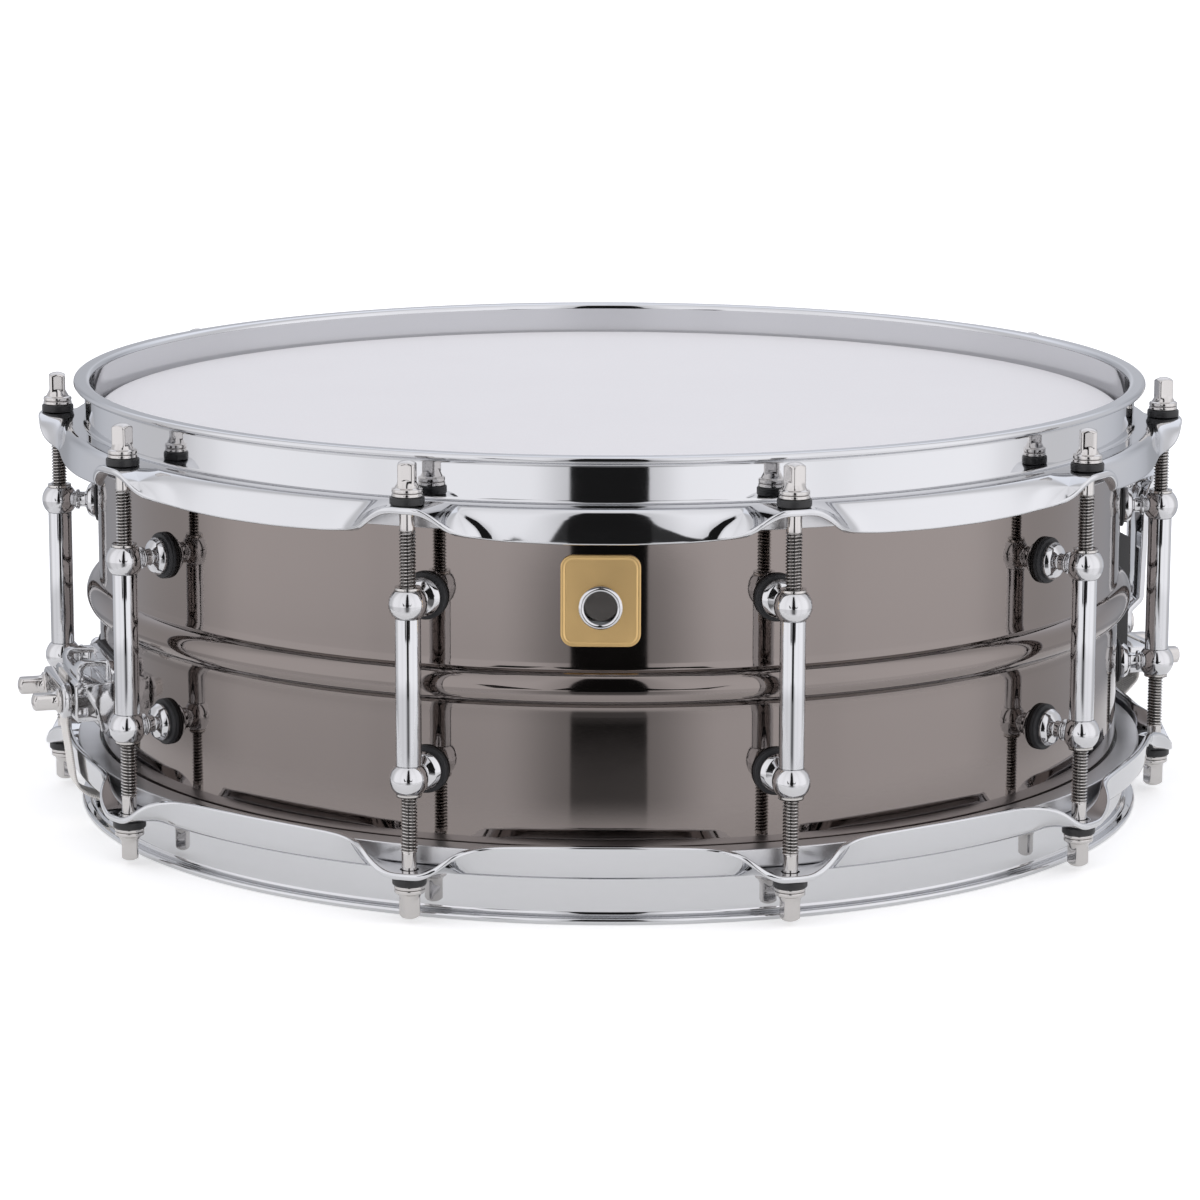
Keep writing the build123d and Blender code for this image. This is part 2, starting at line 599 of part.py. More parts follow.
def tension_knob():
    """Grooved knob and its stem."""
    body = ring([(0, 23.7), (5.4, 23.7), (6.0, 24.3), (6.0, 32.0), (5.4, 32.7), (4.2, 33.1),
                 (0, 33.1)])
    for i in range(KNOB_GROOVES):
        groove = Pos(6.0, 0, 28) * Rot(0, 0, 45) * Box(0.7, 0.7, 6.4)
        body = body - Rot(0, 0, i * 360 / KNOB_GROOVES) * groove
    body = body + upright(KNOB_STEM_R, -5.0, 24.5)
    return Pos(0, -KNOB_R, 0) * body


save("strainer_base", at(STRAINER_AZ, strainer_base()))
save("strainer_slider", at(STRAINER_AZ, strainer_slider()))
save("throw_off_lever", at(STRAINER_AZ, lever()))
save("strainer_pivot_screw", at(STRAINER_AZ, pivot_screw()))
save("tension_knob", at(STRAINER_AZ, tension_knob()))

# ------------------------------------------------------------- mounting screws
mount_screws = []
mount_washers = []
for azimuth, places, tip in MOUNTS:
    for side, z in places:
        screw = cross_screw([(0, 171.6), (3.2, 171.6), (4.0, 172.4), (4.0, 174.55),
                             (1.98, 174.55), (1.98, tip), (0, tip)], 1.0, 10, z, side)
        mount_screws.append(at(azimuth, screw))
        mount_washers.append(at(azimuth, flat_washer(2.05, 5.0, 174.6, 175.6, z, side)))
save("mount_screws", mount_screws)
save("mount_washers", mount_washers)
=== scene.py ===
# A 14 x 5 inch metal snare drum: ten lugs, a butt plate and a throw-off (strainer).
# Lengths are millimetres in the drum's frame: axis on Z, z = 0 half way up the shell,
# the batter side up and the snare side down. Meshes are written in metres.
# A station is a part built on the -Y side: x along +X, z up, radius away from the axis
# (y = -radius). turn() carries it round the drum; azimuth 0 is -Y, 90 degrees is +X.
# A geo is a pair (vertices, faces). A corner is (x, y) or (x, y, rounding radius).
from math import acos, asin, atan2, ceil, cos, hypot, pi, radians, sin, sqrt, tan, tau

import bmesh
import bpy
import numpy as np
from mathutils import Matrix, Vector


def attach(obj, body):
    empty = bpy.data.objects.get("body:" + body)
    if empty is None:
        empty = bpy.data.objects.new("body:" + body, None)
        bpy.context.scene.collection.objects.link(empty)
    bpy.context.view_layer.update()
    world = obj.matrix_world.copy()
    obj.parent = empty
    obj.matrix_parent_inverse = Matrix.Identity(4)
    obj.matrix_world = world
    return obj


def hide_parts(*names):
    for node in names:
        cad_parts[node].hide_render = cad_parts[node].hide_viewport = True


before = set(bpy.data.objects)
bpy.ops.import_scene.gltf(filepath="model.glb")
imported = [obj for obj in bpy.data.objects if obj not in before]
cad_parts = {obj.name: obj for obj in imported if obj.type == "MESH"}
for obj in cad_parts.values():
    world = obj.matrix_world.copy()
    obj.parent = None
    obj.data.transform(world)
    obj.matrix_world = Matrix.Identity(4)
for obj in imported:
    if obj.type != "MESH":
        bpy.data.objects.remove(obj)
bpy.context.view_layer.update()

MM = 0.001

# --------------------------------------------------------- driving dimensions
SHELL_R, SHELL_T, HALF_DEPTH = 177.6, 1.2, 63.5
SEAT_R = SHELL_R + 0.03                    # parts that lie on the shell start here
VENT_Z = 26.0
ROD_R = 192.5                              # axes of the tension rods and lugs
POST_Z = 27.8
LUG_AZ = [18.0 + 36.0 * i for i in range(10)]
BUTT_AZ = -72.0
STRAINER_AZ = BUTT_AZ + 180.0
PIVOT_Z = -26.0

EAR_Z, HOOP_T, LIP_Z = 59.0, 2.2, 74.2     # top of the ears, sheet thickness, hoop's lip

# washers and rod collar stacked on an ear
STACK_GAP = 0.05
NYLON_Z = EAR_Z + STACK_GAP
NYLON_TOP = NYLON_Z + 2.5
WASHER_Z = NYLON_TOP + STACK_GAP
WASHER_TOP = WASHER_Z + 1.2
COLLAR_Z = WASHER_TOP + STACK_GAP

# head film over the shell's edge, then strands, end plates and straps below it
FILM_T = 0.3
FILM_TOP = HALF_DEPTH + 0.05 + FILM_T
STRAND_R = 1.0
STRAND_Z = -FILM_TOP - 0.1 - STRAND_R
PLATE_Z = STRAND_Z - STRAND_R - 0.03       # upper face of the end plates
STRAP_Z = PLATE_Z + 0.05                   # lower face of the straps
PLATE_R = 150.0                            # where the end plates and straps meet

# ----------------------------------------------------------------- mesh tools


def grid(points, close_u=False, close_v=False):
    """Quads over an array of points (nu, nv, 3), closed in either direction."""
    points = np.asarray(points, float)
    count_u, count_v = points.shape[:2]
    faces = []
    for i in range(count_u if close_u else count_u - 1):
        here, there = i * count_v, ((i + 1) % count_u) * count_v
        for j in range(count_v if close_v else count_v - 1):
            k = (j + 1) % count_v
            faces.append((here + j, there + j, there + k, here + k))
    return points.reshape(-1, 3), faces


def merge(*geos):
    verts, faces, count = [], [], 0
    for part_verts, part_faces in geos:
        verts.append(part_verts)
        faces += [tuple(i + count for i in face) for face in part_faces]
        count += len(part_verts)
    return np.vstack(verts), faces


def move(geo, x=0.0, y=0.0, z=0.0):
    return geo[0] + np.array([x, y, z]), geo[1]


def at_rod(geo):
    """Carries a body on the Z axis to the rod axis of a station."""
    return move(geo, y=-ROD_R)


def turn(geo, azimuth):
    cosine, sine = cos(radians(azimuth)), sin(radians(azimuth))
    rotation = np.array([[cosine, -sine, 0], [sine, cosine, 0], [0, 0, 1.0]])
    return geo[0] @ rotation.T, geo[1]


def flip(geo):
    """The same piece on the snare side."""
    return geo[0] * np.array([1, 1, -1.0]), [face[::-1] for face in geo[1]]


def radial(geo, x=0.0, z=0.0):
    """Local Z becomes the outward radial direction of the station."""
    verts = geo[0]
    return np.stack([verts[:, 0] + x, -verts[:, 2], verts[:, 1] + z], 1), geo[1]


def around(geo):
    """A copy at each lug."""
    return merge(*[turn(geo, azimuth) for azimuth in LUG_AZ])


def both_rows(geo):
    """A copy at each lug, on the batter and on the snare side."""
    return merge(around(geo), around(flip(geo)))


def rounded(corners, steps=6, closed=True):
    """Corners to a dense outline, each rounding an arc of so many steps."""
    count, outline = len(corners), []
    for i, corner in enumerate(corners):
        x, y = corner[:2]
        radius = corner[2] if len(corner) > 2 else 0.0
        if radius <= 0 or (not closed and i in (0, count - 1)):
            outline.append((x, y))
            continue
        here = np.array([x, y])
        back = np.array(corners[i - 1][:2]) - here
        ahead = np.array(corners[(i + 1) % count][:2]) - here
        back_len, ahead_len = np.linalg.norm(back), np.linalg.norm(ahead)
        back, ahead = back / back_len, ahead / ahead_len
        angle = acos(max(-1.0, min(1.0, float(back @ ahead))))
        if angle > pi - 1e-3:
            outline.append((x, y))
            continue
        cut = min(radius / tan(angle / 2), 0.49 * back_len, 0.49 * ahead_len)
        radius = cut * tan(angle / 2)
        middle = (back + ahead) / np.linalg.norm(back + ahead)
        centre = here + middle * (radius / sin(angle / 2))
        start = atan2(*(here + back * cut - centre)[::-1])
        end = atan2(*(here + ahead * cut - centre)[::-1])
        sweep = (end - start + pi) % tau - pi
        for k in range(steps + 1):
            turned = start + sweep * k / steps
            outline.append((centre[0] + radius * cos(turned), centre[1] + radius * sin(turned)))
    return outline


def rounded_box(half_x, half_y, radius, steps=6, mid_y=0.0):
    low, high = mid_y - half_y, mid_y + half_y
    return rounded([(-half_x, low, radius), (half_x, low, radius),
                    (half_x, high, radius), (-half_x, high, radius)], steps)


def offset_line(line, distance):
    """The line moved to the left of its own direction."""
    points = np.array(line, float)
    along = np.gradient(points, axis=0)
    along /= np.linalg.norm(along, axis=1)[:, None]
    normals = np.stack([-along[:, 1], along[:, 0]], 1)
    return [tuple(point) for point in points + normals * distance]


def run_lengths(points):
    """Length along a line of points, from its start to each point."""
    steps = np.linalg.norm(np.diff(points, axis=0), axis=1)
    return np.concatenate([[0], np.cumsum(steps)])


def side_normals(x, z, *spacing):
    along_x, along_z = np.gradient(x, *spacing), np.gradient(z, *spacing)
    length = np.hypot(along_x, along_z)
    return along_z / length, -along_x / length


def smooth(values, half, sigma):
    """Gaussian smoothing; half width and sigma are counted in samples."""
    kernel = np.exp(-0.5 * (np.arange(-half, half + 1) / sigma) ** 2)
    kernel /= kernel.sum()
    return np.convolve(np.pad(values, half, mode="edge"), kernel, mode="valid")


def clamp01(value):
    return min(1.0, max(0.0, value))


def lathe(outline, count=96, closed=True):
    """(radius, z) outline turned about Z."""
    radius, z = np.array(outline, float).T
    angles = np.linspace(0, tau, count, endpoint=False)
    points = np.stack([np.outer(np.cos(angles), radius), np.outer(np.sin(angles), radius),
                       np.tile(z, (count, 1))], 2)
    return grid(points, True, closed)


def ring(z, angles, radius_at):
    """Points about Z whose radius is a function of the angle."""
    return [(radius_at(angle) * cos(angle), radius_at(angle) * sin(angle), z)
            for angle in angles]


def skin_rings(rings, close_bottom=True):
    """Surface through rings about Z, the ends closed by shrinking to the axis."""
    rings = np.array(rings)
    bottom, top = rings[:1].copy(), rings[-1:].copy()
    bottom[..., :2] = 0
    top[..., :2] = 0
    parts = [bottom, rings, top] if close_bottom else [rings, top]
    return grid(np.concatenate(parts, 0).transpose(1, 0, 2), True, False)


def cylinder(radius, bottom, top, count=48):
    return lathe([(0, bottom), (radius, bottom), (radius, top), (0, top)], count, False)


def radial_cylinder(radius, inner, outer, x=0.0, z=0.0, count=48):
    return radial(cylinder(radius, inner, outer, count), x, z)


def prism(outline, inner, outer):
    """(x, z) outline from one radius of the station to another."""
    count = len(outline)
    verts = [(x, -radius, z) for radius in (inner, outer) for x, z in outline]
    faces = [tuple(range(count)), tuple(range(2 * count - 1, count - 1, -1))]
    for i in range(count):
        k = (i + 1) % count
        faces.append((i, i + count, k + count, k))
    return np.array(verts, float), faces


def raw_mesh(name, geo):
    """Welded mesh with its normals facing out."""
    mesh = bpy.data.meshes.new(name)
    mesh.from_pydata((geo[0] * MM).tolist(), [], geo[1])
    edit = bmesh.new()
    edit.from_mesh(mesh)
    bmesh.ops.remove_doubles(edit, verts=edit.verts, dist=2e-4 * MM)
    bmesh.ops.dissolve_degenerate(edit, dist=1e-9, edges=edit.edges)
    bmesh.ops.recalc_face_normals(edit, faces=edit.faces)
    edit.to_mesh(mesh)
    edit.free()
    return mesh


def boolean(body, tool, operation="DIFFERENCE"):
    """Exact boolean of two closed bodies."""
    objects = []
    for k, geo in enumerate((body, tool)):
        obj = bpy.data.objects.new("tmp_%d" % k, raw_mesh("tmp_%d" % k, geo))
        bpy.context.scene.collection.objects.link(obj)
        objects.append(obj)
    cut = objects[0].modifiers.new("cut", "BOOLEAN")
    cut.operation = operation
    cut.solver = "EXACT"
    cut.object = objects[1]
    depsgraph = bpy.context.evaluated_depsgraph_get()
    mesh = objects[0].evaluated_get(depsgraph).to_mesh()
    coords = np.zeros(len(mesh.vertices) * 3)
    mesh.vertices.foreach_get("co", coords)
    faces = [tuple(polygon.vertices) for polygon in mesh.polygons]
    for obj in objects:
        source = obj.data
        bpy.data.objects.remove(obj)
        bpy.data.meshes.remove(source)
    return coords.reshape(-1, 3) / MM, faces


def finish_mesh(mesh, material, sharp):
    """Smooth shading, with edges over the sharp angle (degrees) kept crisp."""
    mesh.polygons.foreach_set("use_smooth", [True] * len(mesh.polygons))
    mesh.set_sharp_from_angle(angle=radians(sharp))
    mesh.update()
    mesh.materials.append(MATERIALS[material])
    return mesh


def add_object(name, mesh, body, node, matrix=Matrix()):
    """An object that moves with a body and stands in for a CAD node."""
    obj = bpy.data.objects.new(name, mesh)
    bpy.context.scene.collection.objects.link(obj)
    obj.matrix_world = matrix
    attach(obj, body)
    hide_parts(node)


def piece(name, geo, material, body, node, sharp=32.0):
    add_object(name, finish_mesh(raw_mesh(name, geo), material, sharp), body, node)


def head_pair(name, geo, material, node):
    """The piece on the batter head, and its mirror on the snare head."""
    for side, side_geo in (("batter", geo), ("snare", flip(geo))):
        piece(side + "_" + name, side_geo, material, side + "_head", side + "_" + node)


# ------------------------------------------------------------------ materials
MATERIALS = {}


class ShaderTree:
    """Short hand for building the node tree of a material or world."""

    def __init__(self, block):
        block.use_nodes = True
        self.nodes = block.node_tree.nodes
        self.links = block.node_tree.links
        self.nodes.clear()

    def put(self, socket, value):
        if isinstance(value, bpy.types.NodeSocket):
            self.links.new(value, socket)
        else:
            socket.default_value = value

    def new(self, kind, inputs=(), **props):
        node = self.nodes.new("ShaderNode" + kind)
        for key, value in props.items():
            setattr(node, key, value)
        for key, value in dict(inputs).items():
            self.put(node.inputs[key], value)
        return node

    def math(self, operation, *values, clamp=False):
        inputs = dict(enumerate(values))
        return self.new("Math", inputs, operation=operation, use_clamp=clamp).outputs[0]

    def add(self, first, second):
        return self.math("ADD", first, second)

    def sub(self, first, second):
        return self.math("SUBTRACT", first, second)

    def mul(self, first, second):
        return self.math("MULTIPLY", first, second)

    def mul_add(self, value, times, plus):
        return self.math("MULTIPLY_ADD", value, times, plus)

    def max(self, first, second):
        return self.math("MAXIMUM", first, second)

    def abs(self, value):
        return self.math("ABSOLUTE", value)

    def step(self, value, span, levels=(0.0, 1.0)):
        """Smooth step from one level to the other as value crosses the span."""
        inputs = dict(enumerate((value, *span, *levels)))
        return self.new("MapRange", inputs, interpolation_type="SMOOTHSTEP",
                        clamp=True).outputs[0]

    def curve(self, value, points):
        """Smooth curve through (x, y) points, x between 0 and 1."""
        node = self.new("FloatCurve")
        line = node.mapping.curves[0]
        node.mapping.use_clip = False
        while len(line.points) < len(points):
            line.points.new(0.5, 0.5)
        for knot, place in zip(line.points, points):
            knot.location = place
            knot.handle_type = "AUTO_CLAMPED"
        node.mapping.update()
        self.put(node.inputs["Value"], value)
        return node.outputs[0]

    def noise(self, scale, detail=3.0, rough=0.5, coords=None):
        inputs = {"Vector": coords or self.coords, "Scale": scale, "Detail": detail,
                  "Roughness": rough}
        return self.new("TexNoise", inputs).outputs["Fac"]

    def separate(self, vector):
        return self.new("SeparateXYZ", {0: vector}).outputs

    def mix(self, factor, first, second):
        inputs = {0: factor, 6: first, 7: second}
        return self.new("Mix", inputs, data_type="RGBA").outputs[2]

    def mix_shader(self, factor, first, second):
        inputs = {0: factor, 1: first.outputs[0], 2: second.outputs[0]}
        return self.new("MixShader", inputs).outputs[0]

    def surface(self, inputs):
        """Sets inputs of the Principled node."""
        for key, value in inputs.items():
            self.put(self.principled.inputs[key], value)

    def bump(self, height, strength, distance, rim=0.0):
        """Bump, over edges softened by the rim radius (metres) if there is one."""
        inputs = {"Strength": strength, "Distance": distance, "Height": height}
        if rim:
            inputs["Normal"] = self.new("Bevel", {"Radius": rim}, samples=6).outputs[0]
        self.surface({"Normal": self.new("Bump", inputs).outputs[0]})


def start_material(name):
    """A named material with a Principled surface; returns its tree."""
    MATERIALS[name] = bpy.data.materials.new(name)
    tree = ShaderTree(MATERIALS[name])
    tree.output = tree.new("OutputMaterial")
    tree.principled = tree.new("BsdfPrincipled")
    tree.put(tree.output.inputs["Surface"], tree.principled.outputs[0])
    tree.coords = tree.new("TexCoord").outputs["Object"]
    return tree


def metal(name, base, rough, tint, grain, stretch, spread, peel, rim=0.0):
    """Plated or bare metal: faint tone drift, polishing lines, smudges, orange peel."""
    tree = start_material(name)
    darker = (*[channel * tint for channel in base], 1.0)
    lighter = (*[min(channel * (2 - tint), 1.0) for channel in base], 1.0)
    drift = tree.noise(scale=14.0, detail=4.0)
    smudges = tree.step(tree.noise(scale=60.0, detail=5.0, rough=0.6), span=(0.35, 0.8))
    mapping = tree.new("Mapping", {"Vector": tree.coords, "Scale": (1.0, 1.0, stretch)})
    lines = tree.noise(scale=grain, detail=2.0, coords=mapping.outputs[0])
    roughness = tree.mul_add(smudges, times=spread, plus=rough)
    tree.surface({
        "Metallic": 1.0,
        "Base Color": tree.mix(drift, darker, lighter),
        "Roughness": tree.mul_add(lines, times=spread * 0.6, plus=roughness),
    })
    line_height = tree.mul(lines, 0.25)
    height = tree.mul_add(tree.noise(scale=240.0, detail=2.0), times=0.6, plus=line_height)
    tree.bump(height, strength=peel, distance=0.0002, rim=rim)
    return tree


def plastic(name, base, rough, grain, strength, specular, rim=0.0):
    """Rubber, nylon or enamel with a fine grain."""
    tree = start_material(name)
    darker = (*[channel * 0.75 for channel in base], 1.0)
    lighter = (*[channel * 1.25 for channel in base], 1.0)
    tree.surface({
        "Base Color": tree.mix(tree.noise(scale=90.0, detail=4.0), darker, lighter),
        "Roughness": tree.mul_add(tree.noise(scale=300.0), times=0.18, plus=rough),
        "Specular IOR Level": specular,
    })
    grit = tree.noise(scale=grain, detail=4.0, rough=0.6)
    tree.bump(grit, strength=strength, distance=0.0002, rim=rim)


# name, base colour, roughness, darkest tone, line scale, line squeeze along Z,
# roughness spread, orange peel strength, edge softening radius in metres
METALS = [
    ("black_nickel", (0.258, 0.227, 0.214), 0.04, 0.97, 700.0, 6, 0.02, 0.012),
    ("chrome_plate", (0.66, 0.665, 0.68), 0.035, 0.985, 800.0, 8, 0.015, 0.012),
    ("chrome_cast", (0.66, 0.66, 0.67), 0.05, 0.97, 900.0, 1, 0.03, 0.05),
    ("chrome_casting", (0.64, 0.64, 0.65), 0.06, 0.96, 900.0, 1, 0.03, 0.06, 0.0006),
    ("nickel_plate", (0.62, 0.60, 0.585), 0.05, 0.95, 1200.0, 1, 0.03, 0.03),
    ("badge_brass", (0.80, 0.55, 0.245), 0.34, 0.95, 2600.0, 1, 0.10, 0.35),
    ("flesh_aluminium", (0.62, 0.62, 0.63), 0.30, 0.94, 1600.0, 14, 0.10, 0.25),
    ("zinc_steel", (0.52, 0.53, 0.55), 0.30, 0.88, 900.0, 1, 0.15, 0.25, 0.0003),
    ("wire_steel", (0.58, 0.58, 0.59), 0.20, 0.92, 1500.0, 1, 0.10, 0.10),
    ("insert_nickel", (0.60, 0.58, 0.56), 0.12, 0.93, 1500.0, 1, 0.06, 0.06),
]
# name, base colour, roughness, grain scale, grain strength, specular, edge softening radius
PLASTICS = [
    ("rubber_black", (0.022, 0.022, 0.024), 0.42, 1800.0, 0.35, 0.35),
    ("rubber_gasket", (0.022, 0.022, 0.024), 0.42, 1800.0, 0.35, 0.35, 0.0005),
    ("nylon_black", (0.014, 0.014, 0.015), 0.30, 1500.0, 0.15, 0.5),
]


def rod_material():
    """Nickel-plated screw: bright crests, painted shade along the thread's root, bright head.
    """
    tree = metal("nickel_rod", base=(0.62, 0.60, 0.585), rough=0.06, tint=0.95,
                 grain=1200.0, stretch=1, spread=0.03, peel=0.03)
    coords = tree.new("TexCoord").outputs["Object"]
    x, y, z = tree.separate(coords)
    radius = tree.math("SQRT", tree.add(tree.mul(x, x), tree.mul(y, y)))
    # painted shade: the thread's root darkened in patches, where the radius falls below the
    # crests
    # metres: thread root to crest, and the end of the thread
    root_shade = tree.mul(tree.step(radius, span=(0.00256, 0.00218)),
                     tree.step(tree.abs(z), span=(0.0512, 0.0508)))
    patchy = tree.mul_add(tree.noise(scale=300.0, coords=coords), times=0.25, plus=0.72)
    root_shade = tree.mul(root_shade, patchy)
    inputs = tree.principled.inputs
    plain_colour = inputs["Base Color"].links[0].from_socket
    plain_rough = inputs["Roughness"].links[0].from_socket
    # colour of the painted shade along the thread's root
    root_shade_colour = (0.05, 0.047, 0.044, 1)
    tree.surface({
        "Base Color": tree.mix(root_shade, plain_colour, root_shade_colour),
        "Roughness": tree.mul_add(root_shade, times=0.25, plus=plain_rough),
    })


def film_material():
    """White coated drum head: fine sprayed grit over a satin film, with painted shade in the
    grit's low places.
    """
    tree = start_material("coated_film")
    tone = tree.noise(scale=9.0, detail=5.0, rough=0.6)
    speck = tree.noise(scale=1500.0, rough=0.7)
    white = tree.mix(tone, (0.80, 0.785, 0.80, 1), (0.85, 0.84, 0.85, 1))
    # painted shade: the film a touch darker where the speck noise is low, the same places where
    # the bump sinks
    hollow_shade = tree.mix(0.08, white, (0.45, 0.44, 0.45, 1))
    tree.surface({
        "Base Color": tree.mix(tree.step(speck, span=(0.35, 0.7)), hollow_shade, white),
        "Roughness": tree.mul_add(speck, times=0.2, plus=0.42),
        "Specular IOR Level": 0.35,
    })
    cells = tree.new("TexVoronoi", {"Scale": 1900.0, "Vector": tree.coords})
    height = tree.mul_add(cells.outputs["Distance"], times=-0.5, plus=speck)
    tree.bump(height, strength=0.35, distance=0.0001)


def clear_material():
    """Thin clear film: mostly see-through with a soft sheen and faint haze."""
    tree = start_material("clear_film")
    haze = tree.noise(scale=30.0, detail=5.0, rough=0.6)
    tree.surface({
        "Base Color": tree.mix(haze, (0.78, 0.80, 0.82, 1), (0.88, 0.90, 0.91, 1)),
        "Roughness": tree.mul_add(haze, times=0.10, plus=0.08),
    })
    see_through = tree.new("BsdfTransparent", {"Color": (0.93, 0.95, 0.96, 1)})
    solid = tree.mul_add(haze, times=0.12, plus=0.22)
    shader = tree.mix_shader(solid, see_through, tree.principled)
    tree.put(tree.output.inputs["Surface"], shader)
    tree.bump(tree.noise(scale=500.0, detail=2.0), strength=0.05, distance=0.0001)


def strap_material():
    """Woven ribbon: warp and weft threads from the strap's own length and width."""
    tree = start_material("strap_fabric")
    length_pitch, width_pitch = 0.0007, 0.0009      # thread spacing, metres
    length, width, _ = tree.separate(tree.new("TexCoord").outputs["UV"])
    weft = tree.math("SINE", tree.mul(length, tau / length_pitch))
    warp = tree.math("SINE", tree.mul(width, tau / width_pitch))
    ribs = tree.mul_add(weft, times=0.35, plus=0.5)
    weave = tree.mul_add(tree.mul(weft, warp), times=0.25, plus=ribs)
    fuzz = tree.noise(scale=2600.0, rough=0.7)
    # painted shade: the darker thread colour lies in the weave's low places between the weft
    # ribs, where the bump also sinks
    thread = tree.mix(tree.step(weave, span=(0.0, 0.9)),
                      (0.52, 0.49, 0.46, 1), (0.78, 0.755, 0.72, 1))
    tree.surface({
        "Base Color": tree.mix(tree.mul(fuzz, 0.3), thread, (0.84, 0.82, 0.79, 1)),
        "Roughness": 0.75,
        "Sheen Weight": 0.25,
    })
    height = tree.mul_add(fuzz, times=0.3, plus=weave)
    tree.bump(height, strength=0.6, distance=0.0002)


for row in METALS:
    metal(*row)
for row in PLASTICS:
    plastic(*row)
rod_material()
plastic("black_enamel", base=(0.012, 0.012, 0.013), rough=0.06, grain=500.0,
        strength=0.03, specular=0.5, rim=0.0006)
film_material()
clear_material()
strap_material()

# ---------------------------------------------------------------------- shell
BEAD_OUT, BEAD_R = 4.4, 6.3
MOUNT_HOLE_R = 2.6
BUTT_SCREW_X, BUTT_SCREW_Z = 8.0, -28.0
STRAINER_SCREW_Z = (17.0, -37.0)


def bead_line():
    """Half-round bead in tight corners, with a soft flare above and below it."""
    centre_r = SHELL_R + BEAD_OUT - BEAD_R
    flanks = []
    # lift at the corner, height of the flare, side of the bead
    for lift, run, side in ((0.32, 3.3, -1), (0.12, 2.4, 1)):
        angle = acos((SHELL_R + lift - centre_r) / BEAD_R)
        corner_z = BEAD_R * sin(angle)
        flank = [(SHELL_R + lift * (k / 10) ** 2, side * (corner_z + run - run * k / 10))
                 for k in range(8)]
        flank.append((SHELL_R + lift, side * corner_z, 0.45))
        flanks.append((flank, angle))
    (lower, low_angle), (upper, high_angle) = flanks
    steps = 44
    crown = []
    for k in range(2, steps - 1):
        angle = -low_angle + (low_angle + high_angle) * k / steps
        crown.append((centre_r + BEAD_R * cos(angle), BEAD_R * sin(angle)))
    return rounded(lower + crown + upper[::-1], 7, False)


def wall_cutter(radius, z, x=0.0, reach=4.0, count=32):
    return radial_cylinder(radius, SHELL_R - 4, SHELL_R + reach, x, z, count)


def shell_geo():
    edge = rounded([(SHELL_R, HALF_DEPTH - 6.0), (SHELL_R, HALF_DEPTH - 2.2, 2.6),
                    (SHELL_R - 2.4, HALF_DEPTH, 1.6), (SHELL_R - 6.6, HALF_DEPTH - 3.6)],
                   8, False)
    outer = [(radius, -z) for radius, z in reversed(edge)]
    outer += [(SHELL_R, float(z)) for z in np.linspace(-50, -12, 6)]
    outer += bead_line()
    outer += [(SHELL_R, float(z)) for z in np.linspace(12, 50, 6)]
    outer += edge
    body = lathe(outer + offset_line(outer, SHELL_T)[::-1], 360)
    cuts = [around(wall_cutter(2.4, z)) for z in (POST_Z, -POST_Z)]
    cuts.append(wall_cutter(5.8, VENT_Z, count=64))
    for x in (-BUTT_SCREW_X, BUTT_SCREW_X):
        cuts.append(turn(wall_cutter(MOUNT_HOLE_R, BUTT_SCREW_Z, x, reach=5.0), BUTT_AZ))
    for z in STRAINER_SCREW_Z:
        cuts.append(turn(wall_cutter(MOUNT_HOLE_R, z, reach=5.0), STRAINER_AZ))
    return boolean(body, merge(*cuts))


piece("shell_skin", shell_geo(), "black_nickel", "shell", "shell", 28)

# ---------------------------------------------------------------------- hoops
# free edge of the outer sheet: distance along the rim from the middle of an ear, radius, z
HOOP_EDGE = [
    (0, 198.9, 59.0), (3.5, 198.8, 59.0), (5.0, 198.6, 58.9), (6.5, 198.4, 58.3),
    (8.2, 198.2, 57.4), (10.4, 197.9, 55.8), (11.9, 197.5, 54.4), (13.3, 196.9, 53.1),
    (15.6, 195.4, 51.3), (18.4, 193.4, 50.0), (22.2, 191.4, 48.9), (26.0, 190.5, 48.3),
    (31.0, 190.2, 47.9), (40.0, 190.0, 47.6), (50.0, 190.0, 47.4), (70.0, 190.0, 47.4),
]
BEND_R = 3.8
BEND_MID_R, BEND_MID_Z = 185.4, EAR_Z - BEND_R
EDGE_ROUND = 0.75
RIM_R = 189.2                              # turns an angle into distance along the rim
ROD_HOLE_R = 3.0
GATE_HALF_X, GATE_HALF_Z, GATE_Z = 13.0, 4.7, 66.5

edge_run, edge_radius, edge_height = np.array(HOOP_EDGE).T
RUN = np.arange(-70, 70.001, 0.1)
SMOOTH_RADIUS, SMOOTH_HEIGHT = (
    smooth(np.interp(np.abs(RUN), edge_run, column), half=60, sigma=13.0)
    for column in (edge_radius, edge_height))


